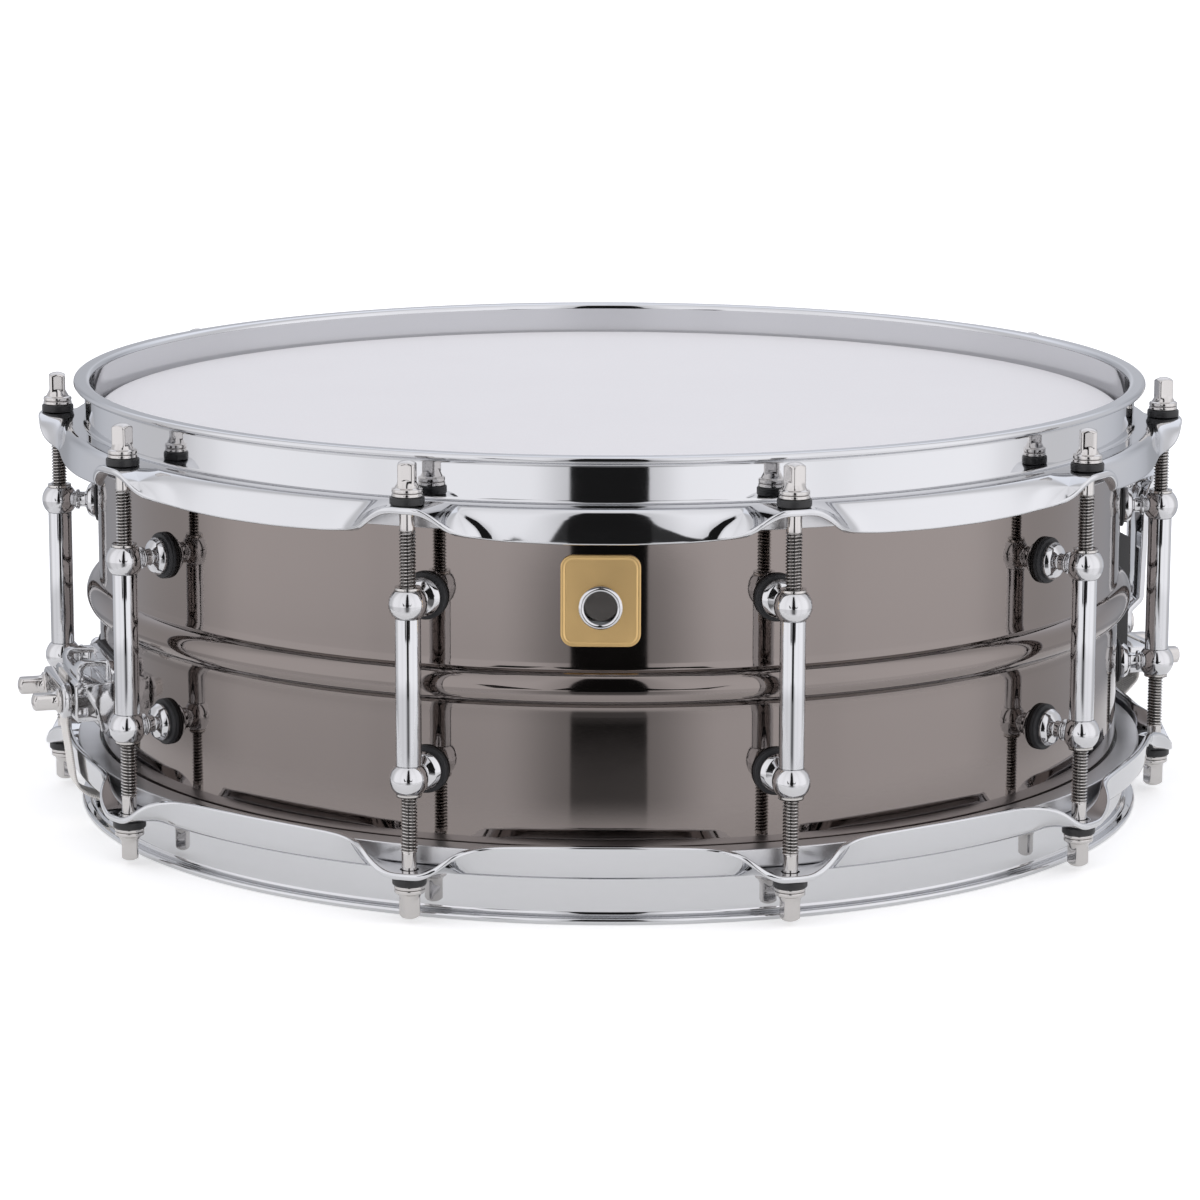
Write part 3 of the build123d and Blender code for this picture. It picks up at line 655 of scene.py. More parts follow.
def hoop_sheet(run):
    """(radius, z) line round the bent outer sheet, at a distance from mid-ear."""
    reach_r = float(np.interp(run, RUN, SMOOTH_RADIUS)) - BEND_MID_R
    reach_z = float(np.interp(run, RUN, SMOOTH_HEIGHT)) - BEND_MID_Z
    reach = hypot(reach_r, reach_z)
    slope = atan2(reach_r, reach_z) - acos(BEND_R / reach)
    length = sqrt(reach * reach - BEND_R * BEND_R)
    sway = radians(3.5) * sin(max(slope, 0.0)) ** 2
    bend_end = slope - sway
    outer, normals = [], []
    for k in range(13):
        angle = bend_end * k / 12
        outer.append((BEND_MID_R + BEND_R * sin(angle), BEND_MID_Z + BEND_R * cos(angle)))
        normals.append((sin(angle), cos(angle)))
    # gently curved sheet from the bend to the free edge
    steps = 14
    x, z = outer[-1]
    for k in range(1, steps + 1):
        angle = bend_end + 2 * sway * (k - 0.5) / steps
        x += cos(angle) * length / steps
        z -= sin(angle) * length / steps
        angle = bend_end + 2 * sway * k / steps
        outer.append((x, z))
        normals.append((sin(angle), cos(angle)))
    outer, normals = np.array(outer), np.array(normals)
    inner = outer - normals * HOOP_T
    # rounded free edge
    across = normals[-1] * EDGE_ROUND
    along = np.array([normals[-1][1], -normals[-1][0]]) * EDGE_ROUND
    cap = []
    for k in range(7):
        angle = pi / 2 * (1 - k / 6)
        cap.append(outer[-1] - across + across * sin(angle) + along * cos(angle))
    for k in range(7):
        angle = -pi / 2 * k / 6
        cap.append(inner[-1] + across + across * sin(angle) + along * cos(angle))
    cap = np.array(cap) - along
    return [tuple(point) for part in (outer[:-1], cap, inner[:-1][::-1]) for point in part]


def densify(points, step=2.2):
    """Extra points on long runs, with one close to either end to hold the shading."""
    out = []
    for start, end in zip(points[:-1], points[1:]):
        length = hypot(end[0] - start[0], end[1] - start[1])
        count = max(1, int(ceil(length / step)))
        places = [k / count for k in range(count)]
        if length > 1.0:
            places = sorted(places + [0.12 / length, 1 - 0.12 / length])
        for k in places:
            out.append((start[0] + (end[0] - start[0]) * k, start[1] + (end[1] - start[1]) * k))
    out.append(points[-1])
    return out


# inner wall and lip of the hoop; the end points belong to the sheet
HOOP_WALL = densify(rounded([
    (BEND_MID_R, EAR_Z - HOOP_T), (179.2, EAR_Z - HOOP_T, 2.2), (179.2, LIP_Z, 1.9),
    (185.1, LIP_Z, 1.15), (185.1, 71.9, 1.05), (181.4, 71.9, 1.3), (181.4, EAR_Z, 1.1),
    (BEND_MID_R, EAR_Z)], 8, False)[1:-1])


def hoop_geo(gates):
    """Hoop on the batter side; gates are the windows for the straps."""
    half = list(np.arange(0.1, 8.0, 0.2)) + list(np.arange(8.0, 18.0, 0.5))
    offsets = sorted([-offset for offset in half] + half)
    rows = []
    for azimuth in LUG_AZ:
        for offset in offsets:
            section = np.array(hoop_sheet(radians(offset) * RIM_R) + HOOP_WALL)
            angle = radians(azimuth + offset)
            rows.append(np.stack([section[:, 0] * sin(angle), -section[:, 0] * cos(angle),
                                  section[:, 1]], 1))
    cuts = around(at_rod(cylinder(ROD_HOLE_R, 50, 62, 40)))
    if gates:
        gate = prism(rounded_box(GATE_HALF_X, GATE_HALF_Z, 2, mid_y=GATE_Z), 176, 184.0)
        cuts = merge(cuts, turn(gate, BUTT_AZ), turn(gate, STRAINER_AZ))
    return boolean(grid(np.array(rows), True, True), cuts)


piece("batter_hoop_skin", hoop_geo(False), "chrome_plate", "batter_head", "batter_hoop",
      38)
piece("snare_hoop_skin", flip(hoop_geo(True)), "chrome_plate", "snare_head", "snare_hoop",
      38)

# ---------------------------------------------------------------------- heads
FLESH_HOOP = rounded([(178.35, 50.6, 0.3), (185.9, 50.6, 0.5), (185.9, 56.75, 1.0),
                      (180.9, 56.75, 1.4), (178.35, 55.6, 0.6)], 5)
head_pair("flesh_hoop_skin", lathe(FLESH_HOOP, 360), "flesh_aluminium", "flesh_hoop")

FILM_R, FILM_SKIRT_Z, FILM_HOLE_R = 178.08, 51.2, 0.02


def film_geo():
    """Flat film that turns down over the shell's edge into a skirt."""
    fold = rounded([(FILM_HOLE_R, FILM_TOP), (175.6, FILM_TOP, 2.0),
                    (FILM_R, FILM_TOP - 2.0, 1.6), (FILM_R, FILM_SKIRT_Z)], 8, False)
    flat = [(float(radius), FILM_TOP) for radius in np.linspace(FILM_HOLE_R, 172, 12)]
    line = flat + fold[1:]
    inside = offset_line(line, -FILM_T)[::-1][1:]
    return lathe(line + [(FILM_R - FILM_T, FILM_SKIRT_Z)] + inside, 240)


film = film_geo()
piece("batter_film_skin", film, "coated_film", "batter_head", "batter_film")
piece("snare_film_skin", flip(film), "clear_film", "snare_head", "snare_film")

# ----------------------------------------------------------------------- lugs
GASKET_TOP = 179.5
POST_BASE = GASKET_TOP + 0.05
TUBE_R, TUBE_HALF = 4.05, 26.0
TUBE_BORE = 4.08
BALL_R, BALL_CUT = 6.1, 5.45               # ball radius, half height between its flats
# turned neck of a post: distance from its own axis, radius on the drum
POST_NECK = rounded([
    (0.0, POST_BASE), (6.15, POST_BASE, 0.25), (6.2, 180.9, 0.5), (5.2, 182.3, 1.5),
    (2.7, 183.25, 0.5), (2.65, 185.35, 0.35), (3.5, 185.65, 0.3), (3.55, 186.5, 0.35),
    (2.85, 186.8, 0.3), (3.2, 188.0, 0.8), (4.1, 189.6), (0.0, 189.8)], 5, False)
# rings: distance from their own axis, then z (tube, insert) or drum radius (gasket)
TUBE = rounded([(3.45, -TUBE_HALF, 0.2), (TUBE_R, -TUBE_HALF, 0.25),
                (TUBE_R, TUBE_HALF, 0.25), (3.45, TUBE_HALF, 0.2)], 4)
INSERT = rounded([(2.7, TUBE_HALF + 0.05, 0.1), (TUBE_R, TUBE_HALF + 0.05, 0.1),
                  (TUBE_R, 33.15, 0.3), (2.7, 33.15, 0.2)], 3)
GASKET = rounded([
    (2.3, 177.0), (7.55, 177.0), (7.65, 178.0, 0.2), (7.65, 178.3, 0.1), (7.35, 178.4, 0.08),
    (7.35, 178.62, 0.08), (7.63, 178.72, 0.12), (7.45, GASKET_TOP, 0.45),
    (2.3, GASKET_TOP, 0.2)], 4)


def post_geo():
    """Neck with a flat-ended ball that holds the tube."""
    limit = asin(BALL_CUT / BALL_R)
    flat_r = sqrt(BALL_R ** 2 - BALL_CUT ** 2)
    arc = [(BALL_R * cos(angle), BALL_R * sin(angle))
           for angle in np.linspace(-limit + 0.10, limit - 0.10, 26)]
    outline = rounded([(TUBE_BORE, -BALL_CUT), (flat_r, -BALL_CUT, 0.5)] + arc
                      + [(flat_r, BALL_CUT, 0.5), (TUBE_BORE, BALL_CUT)], 5)
    ball = at_rod(lathe(outline, 72))
    post = boolean(radial(lathe(POST_NECK, 72, False)), ball, "UNION")
    post = boolean(post, at_rod(cylinder(TUBE_BORE, -8, 8, 72)))
    return move(post, z=POST_Z)


def seat_radius(x):
    """Drum radius coordinate of the shell's face, off the middle of a station."""
    return np.sqrt(SEAT_R ** 2 - x ** 2)


def gasket_geo():
    """Ring about a radial line; its back follows the shell's curve."""
    count = 72
    offset, radius = np.array(GASKET).T
    angles = np.linspace(0, tau, count, endpoint=False)
    x, z = np.outer(np.cos(angles), offset), np.outer(np.sin(angles), offset)
    radius = np.tile(radius, (count, 1))
    radius = np.where(radius < 177.2, seat_radius(x), radius)
    return grid(np.stack([x, -radius, z + POST_Z], 2), True, True)


piece("lug_posts_skin", both_rows(post_geo()), "chrome_cast", "shell", "lug_posts",
      30)
piece("lug_tubes_skin", around(at_rod(lathe(TUBE, 64))), "chrome_plate", "shell",
      "lug_tubes")
piece("lug_inserts_skin", both_rows(at_rod(lathe(INSERT, 48))), "insert_nickel", "shell",
      "lug_inserts")
piece("lug_gaskets_skin", both_rows(gasket_geo()), "rubber_black", "shell", "lug_gaskets")

# --------------------------------------------------------------- tension rods
KEY_HALF, KEY_CORNER = 2.7, 0.9            # half across the flats, corner radius
KEY_FLAT = KEY_HALF - KEY_CORNER
HEAD_TIP = 72.8
ROD_LENGTH = 42.0                          # below the collar
THREAD_PITCH = 1.0583
# angle of each square head about Z, as the rods happen to stand when tuned
BATTER_SPIN = [42, 3, 18, 70, 50, 12, 65, 10, -30, -7]
SNARE_SPIN = [20, 38, 25, 60, 15, 40, 75, 35, 5, 30]


def key_angles():
    """Angles round the square head, closer together at its corners."""
    corner = atan2(KEY_FLAT, KEY_HALF)
    side = list(np.linspace(-corner, corner, 7))
    side += list(np.linspace(corner, pi / 2 - corner, 8))[1:-1]
    return [angle + k * pi / 2 for k in range(4) for angle in side]


KEY_ANGLES = key_angles()


def key_radius(angle):
    """Distance from the axis to the square with rounded corners."""
    angle = (angle + pi / 4) % (pi / 2) - pi / 4
    cosine, sine = cos(angle), abs(sin(angle))
    radius = KEY_HALF / cosine
    if radius * sine > KEY_FLAT:
        middle = KEY_FLAT * (cosine + sine)
        inside = middle * middle - 2 * KEY_FLAT * KEY_FLAT + KEY_CORNER * KEY_CORNER
        radius = middle + sqrt(max(inside, 0.0))
    return radius


def key_head(outline, collar_top, gap, tip, dome_height, dome_radius, dome_steps):
    """Rings of the round outline up to the collar's top, then of the square head.

    The square grows out of the outline's cone, a gap above the last round ring.
    """
    rings = []
    for radius, z in outline:
        if z > collar_top:
            break
        rings.append(ring(z, KEY_ANGLES, lambda angle: radius))
    cone_r, cone_z = np.array(outline).T
    dome_z = tip - dome_height
    levels = list(np.linspace(rings[-1][0][2] + gap, dome_z, 12))
    levels += [dome_z + dome_height * sin(pi / 2 * k / dome_steps)
               for k in range(1, dome_steps + 1)]
    for z in levels:
        cone = float(np.interp(z, cone_z, cone_r)) if z <= cone_z[-1] else 0.0
        rise = max(0.0, (z - dome_z) / dome_height)
        # 9.0 is wider than the square, so there is no dome below dome_z
        dome = dome_radius * sqrt(max(1 - rise * rise, 0.0)) if rise > 0 else 9.0
        rings.append(ring(z, KEY_ANGLES, lambda angle: max(cone, min(key_radius(angle), dome))))
    return rings


def thread_depth(z, angle, pitch):
    """0 to 1 and back over each turn of a thread."""
    return abs((z / pitch - angle / tau) % 1.0 - 0.5) * 2


def rod_geo():
    tip, taper, thread_end = COLLAR_Z - ROD_LENGTH, 0.8, 51.0

    def shank_radius(z, angle):
        core = 2.65 if z < thread_end else 2.45
        if z < tip + taper:
            core = 1.9 + 0.75 * (z - tip) / taper
        fade = clamp01((thread_end + 0.3 - z) / 1.2) * clamp01((z - tip) / taper)
        depth = clamp01((thread_depth(z, angle, THREAD_PITCH) - 0.08) / 0.78)
        return core - 0.58 * depth * fade

    levels = [tip, tip + 0.25, tip + 0.5, tip + 0.75]
    levels += list(np.arange(tip + taper, 51.4, 0.1323))
    levels += list(np.linspace(51.5, COLLAR_Z - 0.02, 8))
    rings = [ring(z, KEY_ANGLES, lambda angle: shank_radius(z, angle)) for z in levels]
    collar = rounded([(2.45, COLLAR_Z), (4.85, COLLAR_Z, 0.35), (4.85, COLLAR_Z + 1.15, 0.45),
                      (3.95, COLLAR_Z + 1.55, 0.5), (3.35, COLLAR_Z + 2.6, 1.2),
                      (2.85, COLLAR_Z + 3.5)], 6, False)
    rings += key_head(collar, COLLAR_Z + 1.6, gap=0.12, tip=HEAD_TIP, dome_height=3.4,
                      dome_radius=4.3, dome_steps=14)
    return skin_rings(rings)


rod = rod_geo()
ROD_SETS = [
    ("batter", finish_mesh(raw_mesh("rod_batter", rod), "nickel_rod", 36), BATTER_SPIN),
    ("snare", finish_mesh(raw_mesh("rod_snare", flip(rod)), "nickel_rod", 36), SNARE_SPIN),
]
for i, azimuth in enumerate(LUG_AZ):
    angle = radians(azimuth)
    place = Matrix.Translation((ROD_R * MM * sin(angle), -ROD_R * MM * cos(angle), 0.0))
    for side, mesh, spins in ROD_SETS:
        node = "%s_rod_%02d" % (side, i + 1)
        add_object("%s_rod_skin_%02d" % (side, i + 1), mesh, node, node,
                   place @ Matrix.Rotation(radians(spins[i]), 4, "Z"))

WASHER_HOLE_R = 2.75
NYLON = rounded([(WASHER_HOLE_R, NYLON_Z, 0.2), (5.45, NYLON_Z, 0.45),
                 (5.45, NYLON_TOP, 0.6), (WASHER_HOLE_R, NYLON_TOP, 0.2)], 5)
WASHER = rounded([(WASHER_HOLE_R, WASHER_Z, 0.1), (4.9, WASHER_Z, 0.3),
                  (4.9, WASHER_TOP, 0.5), (WASHER_HOLE_R, WASHER_TOP, 0.2)], 5)
head_pair("nylon_skin", around(at_rod(lathe(NYLON, 64))), "nylon_black", "nylon_washers")
head_pair("washer_skin", around(at_rod(lathe(WASHER, 64))), "nickel_plate",
          "metal_washers")

# ------------------------------------------------------------- badge and vent
BADGE_HALF_X, BADGE_HALF_Z, BADGE_CORNER, BADGE_Z = 12.5, 14.5, 4.0, 28.0
BADGE_BORE = 5.75
BADGE_RIM, BADGE_FIELD = 0.80, 0.58        # heights above the shell
# places from the bore (0) to the badge's outline (1), close together over the rim
BADGE_STEPS = [0.0, 0.012, 0.05, 0.2, 0.4, 0.55, 0.68, 0.76, 0.80, 0.83, 0.86, 0.885, 0.91,
               0.93, 0.95, 0.965, 0.98, 0.99, 0.996, 1.0]


def badge_inset(x, z):
    """Distance inside the badge's outline."""
    over_x = abs(x) - BADGE_HALF_X + BADGE_CORNER
    over_z = abs(z - BADGE_Z) - BADGE_HALF_Z + BADGE_CORNER
    outside = hypot(max(over_x, 0), max(over_z, 0))
    return max(BADGE_CORNER - outside - min(max(over_x, over_z), 0.0), 0.0)


def badge_height(inset):
    """Rounded outer edge, flat rim, then a smooth fall to the field."""
    if inset < 0.35:
        return BADGE_RIM - 0.34 * (1 - sqrt(max(1 - (1 - inset / 0.35) ** 2, 0.0)))
    if inset < 0.95:
        return BADGE_RIM
    if inset < 1.35:
        part = (inset - 0.95) / 0.4
        return BADGE_RIM - (BADGE_RIM - BADGE_FIELD) * part * part * (3 - 2 * part)
    return BADGE_FIELD


def badge_geo():
    """Curved plate with rounded corners: a raised rim round a lower field."""
    outline = np.array(rounded_box(BADGE_HALF_X, BADGE_HALF_Z, BADGE_CORNER, 14, BADGE_Z))
    outline = np.vstack([outline, outline[:1]])
    run = run_lengths(outline)
    places = np.linspace(0, run[-1], 1600, endpoint=False)
    edge_x = np.interp(places, run, outline[:, 0])
    edge_z = np.interp(places, run, outline[:, 1]) - VENT_Z
    # reach of the outline along rays from the vent's centre
    bearing = np.arctan2(edge_z, edge_x)
    order = np.argsort(bearing)
    bearing, reach = bearing[order], np.hypot(edge_x, edge_z)[order]
    angles = np.linspace(-pi, pi, 220, endpoint=False)
    reach = np.interp(angles, np.concatenate([bearing - tau, bearing, bearing + tau]),
                      np.tile(reach, 3))
    front = []
    for step in BADGE_STEPS:
        row = []
        for angle, limit in zip(angles, reach):
            distance = BADGE_BORE + (limit - BADGE_BORE) * step
            x, z = distance * cos(angle), VENT_Z + distance * sin(angle)
            row.append((x, z, badge_height(badge_inset(x, z))))
        front.append(row)
    front = np.array(front)
    back = front[[-1, 0]]
    back[..., 2] = 0
    points = np.concatenate([front, back], 0)
    x, z, height = points[..., 0], points[..., 1], points[..., 2]
    points = np.stack([x, -(seat_radius(x) + height), z], 2)
    return grid(points.transpose(1, 0, 2), True, True)


piece("badge_plate", badge_geo(), "badge_brass", "shell", "vent_badge", 50)

FLANGE_R = SHELL_R + 0.88
# distance from the vent's centre, radius on the drum
GROMMET = rounded([
    (5.1, 173.6, 0.1), (6.3, 173.6, 0.1), (6.3, 174.25, 0.1), (5.7, 174.25), (5.7, FLANGE_R),
    (6.9, FLANGE_R, 0.1), (6.95, FLANGE_R + 0.75, 0.55), (6.0, FLANGE_R + 1.5, 0.7),
    (5.1, FLANGE_R + 0.9, 0.7)], 6)
piece("vent_grommet_skin", radial(lathe(GROMMET, 96), z=VENT_Z), "chrome_cast", "shell",
      "vent_grommet")

# -------------------------------------------------------------- snare strands
STRAP_WIDTH, STRAP_T = 13.0, 1.0
WEFT_PITCH, WARP_PITCH = 0.7, 0.9
COIL_R, WIRE_R, COIL_PITCH, COIL_LENGTH = 0.72, 0.26, 1.6, 294.0
STRAND_COUNT, STRAND_PITCH = 20, 2.4
PLATE_HALF_X, PLATE_HALF_Y = 25.5, 9.0


def strap_line(face_radius, top, straight, knee):
    """(radius, z) line from a clamp's face, round the hoop and in to the end plate."""
    start = face_radius + 0.05 + STRAP_T / 2
    end_z = STRAP_Z + STRAP_T / 2
    return [(start, top), (start, straight), (191.6 + (start - 191.6) * 0.35, knee),
            (191.2, -57.2), (190.0, -60.6), (187.0, -63.0), (181.5, -65.0), (176.0, end_z),
            (PLATE_R, end_z)]


def ribbon_geo(corners):
    """Woven strap with thin edges and weft ribs; also each vertex's (length, width)."""
    line = np.array(rounded([(x, z, 4.0) for x, z in corners], 10, False))
    run = run_lengths(line)
    count = int(run[-1] / 0.22)
    places = np.linspace(0, run[-1], count)
    x, z = (smooth(np.interp(places, run, column), half=8, sigma=3.0) for column in line.T)
    normal_x, normal_z = side_normals(x, z)
    half, edge = STRAP_WIDTH / 2, 0.45
    steps = 30
    section = []
    for side in (1, -1):
        for j in range(steps + 1):
            across = (-half + STRAP_WIDTH * j / steps) * side
            thin = 1 - max(0.0, (abs(across) - (half - edge)) / edge) ** 2 * 0.55
            section.append((across, side * STRAP_T / 2 * thin))
    across, depth = np.array(section).T
    weft = 0.05 * np.sin(tau * places / WEFT_PITCH)
    warp = 0.03 * np.cos(tau * across / WARP_PITCH)
    rows = []
    for i in range(count):
        lift = depth + np.sign(depth) * (weft[i] + warp)
        rows.append(np.stack([across, -(x[i] + normal_x[i] * lift),
                              z[i] + normal_z[i] * lift], 1))
    rows = np.array(rows)
    verts, faces = grid(rows, False, True)
    first_end, last_end = len(verts), len(verts) + 1
    size = len(section)
    last_row = (count - 1) * size
    for j in range(size):
        k = (j + 1) % size
        faces.append((first_end, j, k))
        faces.append((last_end, last_row + k, last_row + j))
    verts = np.vstack([verts, rows[0].mean(0), rows[-1].mean(0)])
    length_width = [(place, width) for place in places for width in across]
    return (verts, faces), length_width + [(0, 0), (places[-1], 0)]


def strap_piece(side, azimuth, line):
    name = side + "_strap_skin"
    geo, length_width = ribbon_geo(line)
    verts, faces = turn(geo, azimuth)
    mesh = bpy.data.meshes.new(name)
    mesh.from_pydata((verts * MM).tolist(), [], faces)
    layer = mesh.uv_layers.new(name="length_width")
    for loop in mesh.loops:
        length, width = length_width[loop.vertex_index]
        layer.data[loop.index].uv = (length * MM, width * MM)
    edit = bmesh.new()
    edit.from_mesh(mesh)
    bmesh.ops.recalc_face_normals(edit, faces=edit.faces)
    edit.to_mesh(mesh)
    edit.free()
    finish_mesh(mesh, "strap_fabric", 60)
    add_object(name, mesh, "snares", side + "_strap")


def coil_geo():
    """One coiled strand along the station's radial line."""
    per_turn, sides = 9, 5
    turns = COIL_LENGTH / COIL_PITCH
    angles = np.linspace(0, turns * tau, int(turns * per_turn) + 1)
    cosine, sine, zero = np.cos(angles), np.sin(angles), 0 * angles
    y = -COIL_LENGTH / 2 + angles / tau * COIL_PITCH
    centre = np.stack([COIL_R * cosine, y, COIL_R * sine], 1)
    outward = np.stack([cosine, zero, sine], 1)
    lead = COIL_PITCH / (tau * COIL_R)
    tangent = np.stack([-sine, zero + lead, cosine], 1) / sqrt(1 + lead * lead)
    sideways = np.cross(tangent, outward)
    lines = []
    for j in range(sides):
        angle = tau * j / sides
        lines.append(centre + outward * WIRE_R * cos(angle) + sideways * WIRE_R * sin(angle))
    verts, faces = grid(np.array(lines).transpose(1, 0, 2), False, True)
    last = len(verts) - 1
    return verts, faces + [tuple(range(sides)), tuple(range(last, last - sides, -1))]


def plate_geo():
    """Plate under the strands, on the -Y side of the bed, edges softened."""
    outline = rounded_box(PLATE_HALF_X, PLATE_HALF_Y, 2.5)
    rows = []
    # inset of the outline, depth below the upper face
    for inset, depth in ((0.15, 0.0), (0.0, 0.15), (0.0, 0.65), (0.05, 0.74), (0.15, 0.8)):
        rows.append([(x * (1 - inset / PLATE_HALF_X), y * (1 - inset / PLATE_HALF_Y) - PLATE_R,
                      PLATE_Z - depth) for x, y in outline])
    verts, faces = grid(np.array(rows), False, True)
    count = len(outline)
    return verts, faces + [tuple(range(count)), tuple(range(4 * count, 5 * count))[::-1]]


strap_piece("butt", BUTT_AZ, strap_line(193.0, top=-20.5, straight=-39.0, knee=-48.0))
strap_piece("strainer", STRAINER_AZ,
            strap_line(200.0, top=-31.9, straight=-46.5, knee=-52.5))
coil = coil_geo()
strands = merge(*[move(coil, (i - (STRAND_COUNT - 1) / 2) * STRAND_PITCH, 0, STRAND_Z)
                  for i in range(STRAND_COUNT)])
piece("snare_strands", turn(strands, BUTT_AZ), "wire_steel", "snares", "snare_wires",
      60)
plate = plate_geo()
piece("strand_plates", merge(turn(plate, BUTT_AZ), turn(plate, STRAINER_AZ)),
      "nickel_plate", "snares", "snare_end_plates")

# --------------------------------------------------------------- clamp screws
CLAMP_SCREW_X = 13.5
# side, azimuth, radius of the screw's seat, shank depth, head height, z
CLAMPS = [
    ("butt", BUTT_AZ, 197.15, 12.0, 8.4, -28.0),
    ("strainer", STRAINER_AZ, 204.15, 11.0, 7.3, -36.6),
]


def key_screw(seat, depth, head):
    """Square-headed screw along Z, its collar resting at the seat."""
    outline = rounded([
        (0.0, seat - depth), (1.95, seat - depth, 0.5), (1.95, seat - 0.01), (4.2, seat, 0.3),
        (4.2, seat + 1.05, 0.45), (3.4, seat + 1.5, 0.4), (2.9, seat + 2.6, 0.8),
        (2.6, seat + 3.2)], 5, False)
    rings = key_head(outline, seat + 1.5, gap=0.1, tip=seat + head + 1.4, dome_height=2.9,
                     dome_radius=4.1, dome_steps=12)
    return skin_rings(rings, close_bottom=False)


for x, number in ((CLAMP_SCREW_X, "1"), (-CLAMP_SCREW_X, "2")):
    for side, azimuth, seat, depth, head, z in CLAMPS:
        node = side + "_clamp_screw_" + number
        piece(side + "_key_screw_" + number,
              turn(radial(key_screw(seat, depth, head), x, z), azimuth),
              "nickel_plate", node, node, 36)

# ------------------------------------------------------ lever, knob and pivot
LEVER_HALF_T, HUB_R = 1.25, 5.4
# (radius, z) side line of the lever, from the hub up to the finger tip
LEVER_LINE = [(196.75, -31.3), (196.75, -21.2, 2.5), (201.2, -17.1, 3.0), (201.25, 16.5),
              (201.25, 17.5, 9.0), (203.3, 24.6, 8.0), (207.9, 29.6)]
# distance along the lever, half width
LEVER_WIDTHS = [(0, HUB_R), (8, 5.4), (16, 5.5), (24, 6.0), (34, 6.8), (45, 7.3), (52, 7.4),
                (58, 7.1), (70, 6.6)]
TIP_LENGTH, TIP_HALF_WIDTH = 6.5, 7.0
KNOB_R, KNOB_Z, KNOB_AXIS_R = 6.0, 23.7, 192.4
KNOB_THREAD_PITCH, KNOB_SCREW_Z = 0.7, -5.0
# z, radius
KNOB_PROFILE = [(23.7, 5.3), (23.9, 5.6), (24.3, 5.95), (24.6, KNOB_R), (31.6, KNOB_R),
                (32.2, 5.85), (32.6, 5.5), (32.85, 4.9), (33.0, 4.0), (33.1, 2.0)]


def lever_geo():
    """Flat hub, cranked arm and flared finger tip: a rounded bar swept along its line."""
    line = np.array(rounded(LEVER_LINE, 10, False))
    run = run_lengths(line)
    count = 150
    # sections crowd together towards both ends
    ease = 0.5 - 0.5 * np.cos(np.linspace(0, pi, count))
    places = run[-1] * (0.35 * np.linspace(0, 1, count) + 0.65 * ease)
    x, z = (np.interp(places, run, column) for column in line.T)
    normal_x, normal_z = side_normals(x, z, places)
    width_at, half_widths = zip(*LEVER_WIDTHS)
    rows = []
    for i, place in enumerate(places):
        left = run[-1] - place
        half = float(np.interp(place, width_at, half_widths))
        if place < HUB_R:
            half = min(half, sqrt(max(HUB_R ** 2 - (HUB_R - place) ** 2, 0.0)))
        if left < TIP_LENGTH:
            bow = sqrt(max(1 - (1 - left / TIP_LENGTH) ** 2, 0.0))
            half = min(half, TIP_HALF_WIDTH * bow)
        half = max(half, 0.02)
        section = rounded_box(half, LEVER_HALF_T, min(0.75, half * 0.6), 5)
        thin = min(1.0, sqrt(max(min(place, left) / 0.7, 0.0)) + 0.35)
        rows.append([(across, -(x[i] + normal_x[i] * lift * thin),
                      z[i] + normal_z[i] * lift * thin) for across, lift in section])
    verts, faces = grid(np.array(rows), False, True)
    size, last = len(rows[0]), len(verts) - 1
    faces += [tuple(range(size)), tuple(range(last, last - size, -1))]
    return boolean((verts, faces), radial_cylinder(2.55, 190, 200, z=PIVOT_Z))


def knob_geo():
    """Knurled thumb knob on its screw."""
    profile_z, profile_r = zip(*KNOB_PROFILE)

    def radius_at(z, angle):
        if z < -4.55:
            return 1.5
        if z < 23.65:
            depth = thread_depth(z, angle, KNOB_THREAD_PITCH)
            return 1.88 - 0.28 * depth * clamp01((23.0 - z) / 2)
        radius = float(np.interp(z, profile_z, profile_r))
        if 24.2 < z < 32.0:
            radius -= 0.32 * max(0.0, cos(24 * angle)) ** 2
        return radius

    levels = [KNOB_SCREW_Z, -4.6] + list(np.linspace(-4.4, 23.6, 213))
    levels += [KNOB_Z, 23.8, 24.0, 24.3, 24.6] + list(np.linspace(25, 31.4, 10))
    levels += [31.8, 32.2, 32.5, 32.7, 32.9, 33.05, 33.1]
    angles = np.linspace(0, tau, 144, endpoint=False)
    rings = [ring(z, angles, lambda angle: radius_at(z, angle)) for z in levels]
    return move(skin_rings(rings), y=-KNOB_AXIS_R)


def pivot_geo():
    """Domed pivot screw with a straight slot."""
    outline = rounded([(0, 184.4), (2.5, 184.4, 0.3), (2.5, 198.06), (4.6, 198.05, 0.2),
                       (4.6, 199.0, 0.7), (2.4, 199.95, 2.0), (0, 199.98)], 5, False)
    slot = prism(rounded_box(3.3, 0.55, 0, mid_y=PIVOT_Z), 199.2, 201)
    return boolean(radial(lathe(outline, 64, False), z=PIVOT_Z), slot)


piece("throw_off_lever_skin", turn(lever_geo(), STRAINER_AZ), "chrome_plate", "throw_off",
      "throw_off_lever", 34)
piece("tension_knob_skin", turn(knob_geo(), STRAINER_AZ), "chrome_cast", "tension_knob",
      "tension_knob", 40)
piece("strainer_pivot_skin", turn(pivot_geo(), STRAINER_AZ), "nickel_plate", "shell",
      "strainer_pivot_screw")

